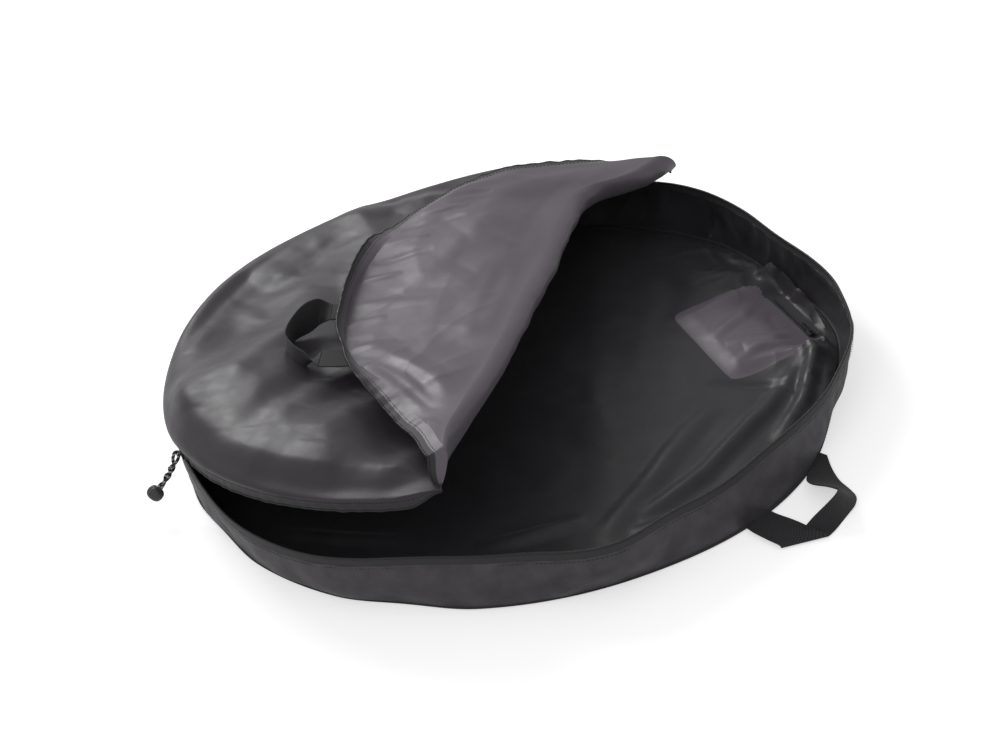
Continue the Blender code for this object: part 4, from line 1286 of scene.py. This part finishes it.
def flap_edge(reach):
    """A line along the flap's edge strip, a reach beyond the panel's edge.

    Its gathers fade over the last points at both ends, where it meets the roll.
    """
    gathers = puckers(np.radians(FLAP_AROUND) * RIM_R, 68) * reach / LIP_H
    ends = np.minimum(np.arange(len(FLAP_AROUND)), np.arange(len(FLAP_AROUND))[::-1])
    gathers = gathers * np.clip(ends / GATHER_ENDS, 0, 1)
    along = FLAP_ALONG + reach * np.cos(FLAP_LEAN) * FLAP_OUTWARD[:, 0]
    over = FLAP_OVER + reach * np.cos(FLAP_LEAN) * FLAP_OUTWARD[:, 1]
    inner = flap_height(FLAP_ALONG, FLAP_OVER) + reach * np.sin(FLAP_LEAN) + gathers
    return on_flap(along, over, inner)


def flap_grid():
    """Rows along the edge from left to right, columns in to the crease."""
    share = (1 - np.cos(np.linspace(0, np.pi, len(FLAP_ALONG)))) / 2
    width = FLAP_ALONG[-1] - FLAP_ALONG[0]
    root = FLAP_ALONG[0] + CORNER + (width - 2 * CORNER) * share
    root_over = drawn_back((root - FLAP_ALONG[0]) / width)
    steps = np.linspace(0, 1, 110)
    along = FLAP_ALONG[:, None] + (root - FLAP_ALONG)[:, None] * steps
    over = FLAP_OVER[:, None] + (root_over - FLAP_OVER)[:, None] * steps
    panel = on_flap(along, over, flap_height(along, over))
    lip = np.stack([flap_edge(r) for r in LIP_STEPS], axis=1)
    return np.concatenate([lip, panel], axis=1)


flap = sheet("flap", flap_grid(), CLOTH, [NYLON_OUT, NYLON_IN])
settle(flap, "flap", "nylon_lining", "flap_panel", "flap_lip")

# %% [markdown]
# ## The zip
# A long coil zip joins lid and wall. Each side is a woven tape with a coil on
# its edge: the lower one on the rim, the upper one along lid, roll and flap.
# Every stretch is the same pair of pieces, so one function makes a pair from lines.

# %% The zip's tapes and coils
TAPE_T = 0.0010
RIPPLE = 0.18
TAPE_FAR = LIP_H + LID_TAPE_H
COIL_FAR = TAPE_FAR + COIL_R
ZIP_REST_DEG = 0.7


def tape_and_coil(names, near, far, coil_line, coil_radius=COIL_R):
    """A woven tape ruled from near to far, and a rippled coil along its line."""
    share = np.linspace(0, 1, 4)[None, :, None]
    tape = sheet(names[0], near[:, None] + (far - near)[:, None] * share, TAPE_T, [ZIP_TAPE])
    return tape, tube(names[1], coil_line, coil_radius, ZIP_COIL, 8, False, RIPPLE)


def settle_pair(pair, body, nodes):
    """Both pieces of a stretch of zip ride one body."""
    for piece, slot, solid in zip(pair, ("zip_tape", "zip_coil"), nodes):
        settle(piece, body, slot, solid)


around = np.linspace(ZIP_START + ZIP_REST_DEG, ZIP_END - ZIP_REST_DEG, 480)
rim_low = polar(rim_radius(around), around, rim_height(around))
rim_high = rim_low + RIM_TAPE_H * UP
pair = tape_and_coil(("rim_tape_woven", "rim_coil"), rim_low, rim_high, rim_high + COIL_R * UP)
settle_pair(pair, "base", ("rim_tape", "lower_coil"))

for side, first, last in (
    ("left", SLIDER_AT - 1.9, FOLD_LEFT),
    ("right", FOLD_RIGHT, ZIP_END - 360),
):
    around = np.linspace(first, last, 200)
    lines = [lid_line(around, drop) for drop in (TAPE_FAR, LIP_H, COIL_FAR)]
    pair = tape_and_coil(("lid_tape_woven_" + side, "lid_coil_rippled_" + side), *lines)
    settle_pair(pair, "base", ("lid_tape_" + side, "lid_coil_" + side))

lines = [flap_edge(reach) for reach in (TAPE_FAR, LIP_H, COIL_FAR)]
pair = tape_and_coil(("flap_tape_woven", "flap_coil_rippled"), *lines)
settle_pair(pair, "flap", ("flap_tape", "flap_coil"))

# %% The zip round the roll's ends
for side, name in ((-1, "left"), (1, "right")):
    for part, first, last, bodies, start, end in ROLL_HALVES:
        turn = np.linspace(first, last, 16)
        label = "roll_%s_%s_" % (name, part)
        lines = [roll_edge(side, turn, reach) for reach in (TAPE_FAR, LIP_H, COIL_FAR)]
        for piece, slot in zip(
            tape_and_coil((label + "tape", label + "coil"), *lines), ("zip_tape", "zip_coil")
        ):
            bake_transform(piece)
    print("zip round the roll's %s end" % name)

# %% [markdown]
# ## The handles
# Both handles are loops of webbing, 38 mm wide. Webbing is stiff across and limp along,
# so where it turns a corner it either folds flat at 45 degrees, as at the near corner of
# the lower one, or stands on edge, as at the far corner. Two lines of points are given,
# one for each edge, and the strip is ruled between them.
# Its section is twelve points: shares of the way across, and which face each lies on.

# %% Webbing between two edges
WEB_T = 0.0016
WEB_W = 0.038
WEB_ACROSS = np.array([0, 0.02, 0.25, 0.5, 0.75, 0.98, 1, 0.98, 0.75, 0.5, 0.25, 0.02])
WEB_SIDE = np.array([0, 1, 1, 1, 1, 1, 0, -1, -1, -1, -1, -1])


def smooth_path(points, count):
    """Points on a curve through the given ones (Catmull-Rom)."""
    points = np.asarray(points, float)
    ends = np.concatenate([[2 * points[0] - points[1]], points])
    ends = np.concatenate([ends, [2 * points[-1] - points[-2]]])
    places = np.linspace(0, len(points) - 1, count)
    k = np.minimum(places.astype(int), len(points) - 2)
    u = (places - k)[:, None]
    p0, p1, p2, p3 = (ends[k + i] for i in range(4))
    curve = 2 * p1 + (p2 - p0) * u + (2 * p0 - 5 * p1 + 4 * p2 - p3) * u**2
    return (curve + (3 * p1 - p0 - 3 * p2 + p3) * u**3) / 2


def webbing(name, stations, count, body, node_name):
    """A flat strip between two edge lines, with rounded edges."""
    edges = smooth_path(stations, count)
    first, second = edges[:, :3], edges[:, 3:]
    middle = (first + second) / 2
    across = second - first
    thick = unit(np.cross(np.gradient(middle, axis=0), across))
    rings = first[:, None] + across[:, None] * WEB_ACROSS[:, None]
    rings = rings + thick[:, None] * WEB_SIDE[:, None] * WEB_T / 2
    flat = np.append(WEB_ACROSS, 0) * WEB_W
    settle(ring_mesh(name, rings, run_along(middle), flat, [WEBBING]), body, "webbing", node_name)
    return edges


# %% [markdown]
# The lower handle lies on the ground in front of the bag. Its rows are places of the
# two edges in millimetres, as the webbing turns its corners.

# %% The lower handle
HANDLE_OUT, HANDLE_Z = 0.002, 0.0038
TAB_INNER, TAB_OUTER = 0.036, 0.074
LOWER_MM = (
    (-74, -392.4, 3.8, -36, -392.4, 3.8), (-77, -404, 4.4, -38.5, -405, 5.0),
    (-79, -422, 4.4, -39, -430, 6.0), (-79.7, -435, 4.2, -41, -462, 5.2),
    (-79.9, -438.3, 3.1, -39.2, -469.5, 3.3), (-77.5, -438.0, 1.5, -37, -469.5, 1.3),
    (-54, -441, 1.8, -30, -470, 1.4), (-36, -449, 16, -20, -469.5, 1.6),
    (-14, -461, 33, 2, -467, 1.8), (-1, -458, 34, 17, -465, 1.8),
    (3, -450, 29, 29, -459, 2.0), (5.2, -437, 24.6, 36, -447, 2.5),
    (10.6, -417, 15.5, 43.5, -429, 3.2), (21, -402, 7.5, 57, -410, 3.8),
    (36, -392.4, 3.8, 74, -392.4, 3.8),
)
low_edges = webbing(
    "lower_handle_loop", np.array(LOWER_MM) / 1000, 190, "lower_handle", "handle_lower"
)
print("lower handle runs %.3f m" % run_along((low_edges[:, :3] + low_edges[:, 3:]) / 2)[-1])
for side, name in ((-1, "left"), (1, "right")):
    near, far = side * TAB_INNER, side * TAB_OUTER
    tab = [(near, -y, HANDLE_Z, far, -y, HANDLE_Z) for y in (0.3800, 0.3860, 0.3917)]
    label = "lower_handle_end_" + name
    webbing(label, tab, 6, "base", "handle_lower_tab_" + name)

# %% [markdown]
# The upper handle lies on the open flap. Its rows count from its own hinge: along the
# seam, out from it and up off the flap, for both edges.

# %% The upper handle
UPPER_MM = (
    (74, 0.5, 0, 36, 0.5, 0), (72, 6, 5, 40, 7, -4), (61, 14, 17, 46, 16, -10),
    (36, 26, 24, 36, 25, -12), (6, 37, 22.5, 22, 40, -12), (-13, 41, 19, 7, 47, -13),
    (-26, 38, 17, -5, 48, -14), (-45, 27, 15, -27, 37, -15), (-58, 15, 12, -41, 23, -14),
    (-69, 6, 5, -39, 8, -6), (-74, 0.5, 0, -36, 0.5, 0),
)
LEAN_45 = math.radians(45)
SEAM_ROOM, SEAM_UNDER = 0.0015, 0.0013
STRIP = LID_TAPE_H + LIP_H + COIL_R + 2 * GAP
upper_radius = RIM_R - (STRIP + SEAM_ROOM) * math.cos(LEAN_45) + HANDLE_OUT
upper_origin = on_flap(*flap_place(np.array([0.0, -upper_radius])), -SEAM_UNDER)
fold_turn = math.radians(FOLD_DEG)
upper_side = math.cos(fold_turn) * ALONG + math.sin(fold_turn) * OVER
upper_out = math.cos(fold_turn) * OVER - math.sin(fold_turn) * ALONG
UPPER_AXES = np.stack([upper_side, upper_out, INNER_UP])


def from_upper(stations):
    """Places along, out and up from the upper handle's hinge, for both edges."""
    return np.array(stations, float).reshape(-1, 2, 3) @ UPPER_AXES + upper_origin


stations = from_upper(np.array(UPPER_MM) / 1000).reshape(-1, 6)
high_edges = webbing("upper_handle_loop", stations, 170, "upper_handle", "handle_upper")
print("upper handle runs %.3f m" % run_along((high_edges[:, :3] + high_edges[:, 3:]) / 2)[-1])
for side, name in ((-1, "left"), (1, "right")):
    near, far = side * TAB_INNER, side * TAB_OUTER
    tab = [
        (far, v, w, near, v, w)
        for v, w in ((-0.060, -0.0048), (-0.040, -0.0046), (-0.020, -0.0030), (-0.0002, 0.0))
    ]
    label = "upper_handle_end_" + name
    webbing(label, from_upper(tab).reshape(-1, 6), 14, "flap", "handle_upper_tab_" + name)

# %% [markdown]
# ## Stitching
# A lockstitch shows as a row of short raised dashes. Each dash is a small lens of
# thread, three rings of four points, and all the dashes of one seam are one mesh.

# %% A row of stitches
STITCH_STEP, STITCH_LONG, STITCH_R = 0.0048, 0.0032, 0.00042


def stitches(name, path, out, body, step=STITCH_STEP, long=STITCH_LONG):
    """Dashes every step along a path, each raised along out; gives their number.

    A dash's ring of points is its spot + ahead x length share + STITCH_R x size share
    x the way round, and the shares are those in its two small tables.
    """
    path = np.asarray(path, float)
    run = run_along(path)
    out = np.broadcast_to(np.asarray(out, float), path.shape)
    places = np.arange(step / 2, run[-1] - long / 2, step)
    ahead = unit(np.gradient(path, axis=0))
    spot, ahead, up = (
        np.stack([np.interp(places, run, v[:, i]) for i in range(3)], axis=1)
        for v in (path, ahead, out)
    )
    up = unit(up)
    side = np.cross(ahead, up)
    shape = np.array([(-0.5, 0.35), (0, 1), (0.5, 0.35)])
    corners = np.array([(1, 0), (0, 1), (-1, 0), (0, -1)])
    reach = spot[:, None] + shape[:, 0][None, :, None] * long * ahead[:, None]
    round_it = corners[:, 0][:, None] * side[:, None] + corners[:, 1][:, None] * up[:, None]
    size = STITCH_R * shape[:, 1][None, :, None, None]
    points = reach[:, :, None] + round_it[:, None] * size
    ring = np.array([[k, (k + 1) % 4, 4 + (k + 1) % 4, 4 + k] for k in range(4)])
    faces = np.concatenate([ring, ring + 4, [[3, 2, 1, 0], [8, 9, 10, 11]]])
    faces = (faces[None] + 12 * np.arange(len(spot))[:, None, None]).reshape(-1, 4)
    made = mesh_object(name, points.reshape(-1, 3), faces.tolist(), [THREAD], sharp_deg=80)
    face_out(made)
    settle(made, body, "webbing")
    return len(spot)


# %% The stitched seams
RIM_STITCH_OUT, RIM_STITCH_DOWN = 0.0011, 0.0030
FOOT_STITCH_OUT, FOOT_STITCH_UP = 0.0028, 0.0030
LIP_STITCH_OUT, LIP_STITCH_UP = 0.0009, 0.0022
BAR_TACK_Y, BAR_TACK_IN, BAR_TACK_UP = (0.3868, 0.3900), 0.003, 0.0002
BAR_TACK_STEP, BAR_TACK_LONG = 0.0026, 0.0020

around = np.linspace(ZIP_START + 1, ZIP_END - 1, 600)
line = polar(rim_radius(around) + RIM_STITCH_OUT, around, rim_height(around) - RIM_STITCH_DOWN)
total = stitches("rim_stitches", line, polar(1.0, around), "base")
around = np.linspace(0, 359, 720)
line = polar(foot_radius(around) + FOOT_STITCH_OUT, around, FOOT_STITCH_UP)
total += stitches("foot_stitches", line, polar(1.0, around), "base")
for side, first, last in (
    ("left", FREE_EDGE, FOLD_LEFT), ("right", FOLD_RIGHT, ZIP_END - 360),
    ("back", ZIP_END - 360, FREE_EDGE),
):
    around = np.linspace(first, last, 500)
    line = lid_line(around, LIP_H - LIP_STITCH_UP) + polar(LIP_STITCH_OUT, around)
    total += stitches("lid_stitches_" + side, line, polar(1.0, around), "base")
lip_way = unit(flap_edge(LIP_H) - flap_edge(0.0))
lip_out = unit(np.cross(lip_way, np.gradient(flap_edge(0.0), axis=0)))
lip_out = lip_out * np.sign((lip_out @ INNER_UP).mean())
line = flap_edge(LIP_H - LIP_STITCH_UP) + LIP_STITCH_OUT * lip_out
total += stitches("flap_stitches", line, lip_out, "flap")
for side, name in ((-1, "left"), (1, "right")):
    for row, y in enumerate(BAR_TACK_Y):
        first, last = side * (TAB_INNER + BAR_TACK_IN), side * (TAB_OUTER - BAR_TACK_IN)
        xs = np.linspace(first, last, 30)
        line = np.stack([xs, -y + 0 * xs, HANDLE_Z + WEB_T / 2 + BAR_TACK_UP + 0 * xs], axis=1)
        label = "lower_bar_tack_%s_%d" % (name, row)
        total += stitches(label, line, (0, 0, 1.0), "base", BAR_TACK_STEP, BAR_TACK_LONG)
print("stitches", total)

# %% [markdown]
# ## The inner pocket
# A slack pocket lies on the floor beside the wall, with a short zip along its outer
# side. It is the same thin lining, so it shows as a low swell with a few creases.
# Its folds are lines in metres along the zip and in from it.

# %% The pocket
POCKET_HALF_L, POCKET_DEPTH = 0.086, 0.125
POCKET_DOME, POCKET_SLACK = 0.007, 0.004
POCKET_SEAM_IN, POCKET_SEAM_SUNK = 0.002, 0.0002
POCKET_FOLDS = (
    (((-0.060, 0.020), (-0.020, 0.060), (0.000, 0.110)), 0.014, 0.005),
    (((0.030, 0.010), (0.040, 0.050), (0.020, 0.100)), 0.012, 0.004),
    (((-0.030, 0.010), (0.000, 0.030), (0.030, 0.030)), 0.010, -0.003),
    (((0.060, 0.030), (0.050, 0.070), (0.060, 0.110)), 0.011, 0.003),
)


def pocket_grid():
    """A low dome, cos x sin over its two directions, plus folds and fine creases."""
    along = np.linspace(-1, 1, 130)[:, None]
    inside = np.linspace(0, 1, 100)[None, :]
    dome = np.cos(np.pi / 2 * along) * np.sin(np.pi * inside) ** 1.4
    run = POCKET_HALF_L * along + 0 * inside
    reach = POCKET_SEAM_IN + POCKET_DEPTH * inside + 0 * along
    ground = POCKET_MIDDLE + run[..., None] * POCKET_AHEAD + reach[..., None] * POCKET_IN
    slack = folds_of(run, reach, POCKET_FOLDS)
    slack = 0.6 * slack + 0.0012 * noise(run, reach, 0.05, 52) + 0.002 * facets(run, reach, 0.05, 51)
    edge = smooth(1 - np.abs(along), 0, 0.25) * smooth(inside, 0, 0.4) * smooth(1 - inside, 0, 0.2)
    bed = floor_height(ground[..., 0], ground[..., 1])
    ground[..., 2] = bed - POCKET_SEAM_SUNK + POCKET_DOME * dome + (POCKET_SLACK + slack) * edge
    return ground


pocket = sheet("pocket", pocket_grid(), LINING, [NYLON_IN])
settle(pocket, "base", "nylon_lining", "pocket_panel")

# %% [markdown]
# The pocket's zip is the same kind as the bag's and smaller. Its height above the floor
# is read from the solids, where slider and tab already fit it.

# %% The pocket's zip
POCKET_TAPE_W, POCKET_COIL_R, POCKET_ZIP_L = 0.010, 0.0012, 0.097
tape_low, tape_high = (np.array(corner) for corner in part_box("pocket_tape"))
zip_half = 0.5 * POCKET_ZIP_L
ends = POCKET_MIDDLE + np.linspace(-zip_half, zip_half, 60)[:, None] * POCKET_AHEAD
tape_z = (tape_low[2] + tape_high[2]) / 2
coil_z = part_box("pocket_coil")[0][2] + POCKET_COIL_R
near = ends - (POCKET_COIL_R + GAP) * POCKET_IN + [0, 0, tape_z]
lines = (near, near - POCKET_TAPE_W * POCKET_IN, ends + [0, 0, coil_z])
pair = tape_and_coil(("pocket_tape_woven", "pocket_coil_rippled"), *lines, POCKET_COIL_R)
settle_pair(pair, "base", ("pocket_tape", "pocket_coil"))

# %% [markdown]
# ## The pull
# A short braided cord is doubled through the slider's crown, and both ends go into a
# ribbed rubber bead that gives the fingers a hold.

# %% The pull's line
CROWN_OUT, CROWN_WIRE_R = 0.0042, 0.0007
SLIDER_HALF_W, SLIDER_PLATE = 0.0029, 0.0012
CORD_R, CORD_CLEAR, CORD_L = 0.0019, 0.0005, 0.045
PULL_LEAN, PULL_BOW, TWISTS = math.radians(27), 0.010, 1.5
tape_top = LOWER_COIL_Z - COIL_R - GAP
crown_z = (tape_top - SLIDER_PLATE - GAP + UPPER_COIL_Z + COIL_R + 2 * GAP) / 2
crown_way = polar(1.0, SLIDER_AT)
bar = polar(RIM_R + SLIDER_HALF_W + CROWN_OUT, SLIDER_AT, crown_z)
pull_down = math.sin(PULL_LEAN) * crown_way - math.cos(PULL_LEAN) * UP
pull_out = math.cos(PULL_LEAN) * crown_way + math.sin(PULL_LEAN) * UP
pull_across = np.cross(pull_down, pull_out)
loop_r = CROWN_WIRE_R + CORD_CLEAR + CORD_R


def pull_middle(share):
    """The pull's middle line: straight down from the bar, with a bow x share squared."""
    share = np.asarray(share, float)[..., None]
    return bar + CORD_L * share * pull_down + PULL_BOW * share**2 * pull_out


print("bead hangs %.1f mm from the crown" % (1000 * np.linalg.norm(pull_middle(1.0) - bar)))

# %% The pull's cord
def strand(sign):
    """One of two strands wound round the middle line, from the bar to the bead.

    Its place is middle + reach x (cos(turn) x out + sin(turn) x across), and the turn
    goes on TWISTS times round while the reach shrinks from the loop to the cord.
    """
    share = np.linspace(0.04, 1, 50)
    turn = 2 * np.pi * TWISTS * smooth(share, 0.0, 1.0)
    wound = 1.12 * CORD_R
    reach = wound + (loop_r - wound) * smooth(-share, -0.35, 0.0)
    way = np.cos(turn)[:, None] * pull_out + np.sin(turn)[:, None] * pull_across
    return pull_middle(share) + sign * reach[:, None] * way


half_turn = np.radians(np.arange(0, 181, 20))[:, None]
over_bar = bar - loop_r * (np.cos(half_turn) * pull_out + np.sin(half_turn) * pull_down)
route = np.concatenate([strand(-1)[::-1], over_bar, strand(1)])
cord_path = smooth_path(route, 240)
pull_cord = tube("braided_pull_cord", cord_path, CORD_R, CORD, 10)
settle(pull_cord, "pull", "cord", "pull_cord")

# %% [markdown]
# The bead is moulded over the cord's two ends: a squat barrel with shallow ribs along
# it, so that wet fingers hold it.

# %% The pull's bead
BEAD_R, BEAD_HALF_L = 0.0092, 0.0074
BEAD_RIBS, RIB_SHARE, BEAD_ROUND = 14, 0.045, 84
BEAD_RING_STEP = 0.0006


def bead_rings():
    """A squat barrel: radius x cos to a low power, with ribs as a small cosine."""
    rise = np.radians(np.linspace(-86, 86, 27))[:, None]
    turn = (np.arange(BEAD_ROUND) * 2 * np.pi / BEAD_ROUND)[None, :]
    ribs = 1 + RIB_SHARE * np.cos(BEAD_RIBS * turn) * smooth(np.cos(rise), 0.3, 0.8)
    size = BEAD_R * np.cos(rise) ** 0.45 * ribs
    axis = unit(CORD_L * pull_down + 2 * PULL_BOW * pull_out)
    first = unit(pull_out - (pull_out @ axis) * axis)
    second = np.cross(axis, first)
    centre = pull_middle(1.0) + (GAP + BEAD_HALF_L) * axis
    middle = centre + BEAD_HALF_L * np.sin(rise)[..., None] * axis
    way = np.cos(turn)[..., None] * first + np.sin(turn)[..., None] * second
    return middle + size[..., None] * way


rings = bead_rings()
flat = BEAD_R * np.arange(BEAD_ROUND + 1) * 2 * np.pi / BEAD_ROUND
steps = np.arange(len(rings)) * BEAD_RING_STEP
bead = ring_mesh("ribbed_pull_bead", rings, steps, flat, [BEAD])
settle(bead, "pull", "bead_rubber", "pull_bead")

# %% [markdown]


# %% [markdown]
# Sliders, tab and end stops stay as the solids have them: die-cast and painted pieces
# that need only their finish.

# %% The small hard parts
for name in (
    "zip_slider", "pocket_slider", "pocket_tab", "end_stop_left", "end_stop_right",
):
    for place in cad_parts[name].material_slots:
        place.material = SLIDER_METAL
    print(name, "is", SLIDER_METAL.name)

# %% [markdown]
# ## Floor, light and background
# The bag lies on a plain pale ground that goes on to a white background. The main light
# is wide and soft, from behind and above, so that every slack patch of the coated cloth
# shows it. A weaker one at the left opens the shadows on the side of the wall.

# %% The ground
GROUND_HALF, GROUND_BELOW = 40, 0.0004
GROUND_GLOW = 0.55


def make_ground():
    """A wide plane just under the bag, with its own light only where the camera sees it."""
    square = [(-1, -1), (1, -1), (1, 1), (-1, 1)]
    mesh = bpy.data.meshes.new("ground")
    corners = [(GROUND_HALF * x, GROUND_HALF * y, 0) for x, y in square]
    mesh.from_pydata(corners, [], [(0, 1, 2, 3)])
    ground = bpy.data.objects.new("ground", mesh)
    bpy.context.scene.collection.objects.link(ground)
    ground.location.z = -GROUND_BELOW
    white = {"Base_Color": colour("#f6f6f6"), "Emission_Color": (1, 1, 1, 1)}
    made, tree, shader, _ = new_finish("white_ground", Roughness=0.9, **white)
    seen = node(tree, "ShaderNodeLightPath", None, "Is Camera Ray")
    glow = node(tree, "ShaderNodeMath", {0: seen, 1: GROUND_GLOW}, operation="MULTIPLY")
    tree.links.new(glow, shader.inputs["Emission Strength"])
    mesh.materials.append(made)
    return ground


ground = make_ground()
print("ground %d m wide" % (2 * GROUND_HALF))

# %% The background
SKY_LIGHT = 0.42


def make_background():
    """White where the camera sees it, and SKY_LIGHT of that as light on the bag."""
    world = bpy.data.worlds.new("studio")
    bpy.context.scene.world = world
    world.use_nodes = True
    tree = world.node_tree
    sky = tree.nodes["Background"]
    seen = node(tree, "ShaderNodeLightPath", None, "Is Camera Ray")
    level = node(tree, "ShaderNodeMapRange", {"Value": seen, "To Min": SKY_LIGHT, "To Max": 1.0})
    sky.inputs["Color"].default_value = (1, 1, 1, 1)
    tree.links.new(level, sky.inputs["Strength"])


make_background()
print("background", bpy.context.scene.world.name)

# %% The lights
LIGHTS = (
    ("key", (0.5, 2.2, 1.8), (0, 0, 0.05), 1.5, 34),
    ("side", (-1.7, -0.6, 1.7), (0, 0, 0.1), 1.2, 5),
)


def area_light(name, place, aim, size, power):
    """A round soft light of a size in metres and a power in watts, turned to its aim."""
    data = bpy.data.lights.new(name, "AREA")
    data.shape = "DISK"
    data.size = size
    data.energy = power
    made = bpy.data.objects.new(name, data)
    bpy.context.scene.collection.objects.link(made)
    made.location = place
    made.rotation_euler = (Vector(aim) - Vector(place)).to_track_quat("-Z", "Y").to_euler()


for row in LIGHTS:
    area_light(*row)
    print(row[0], "light of", row[-1], "W")
bpy.context.scene.view_settings.view_transform = "Standard"
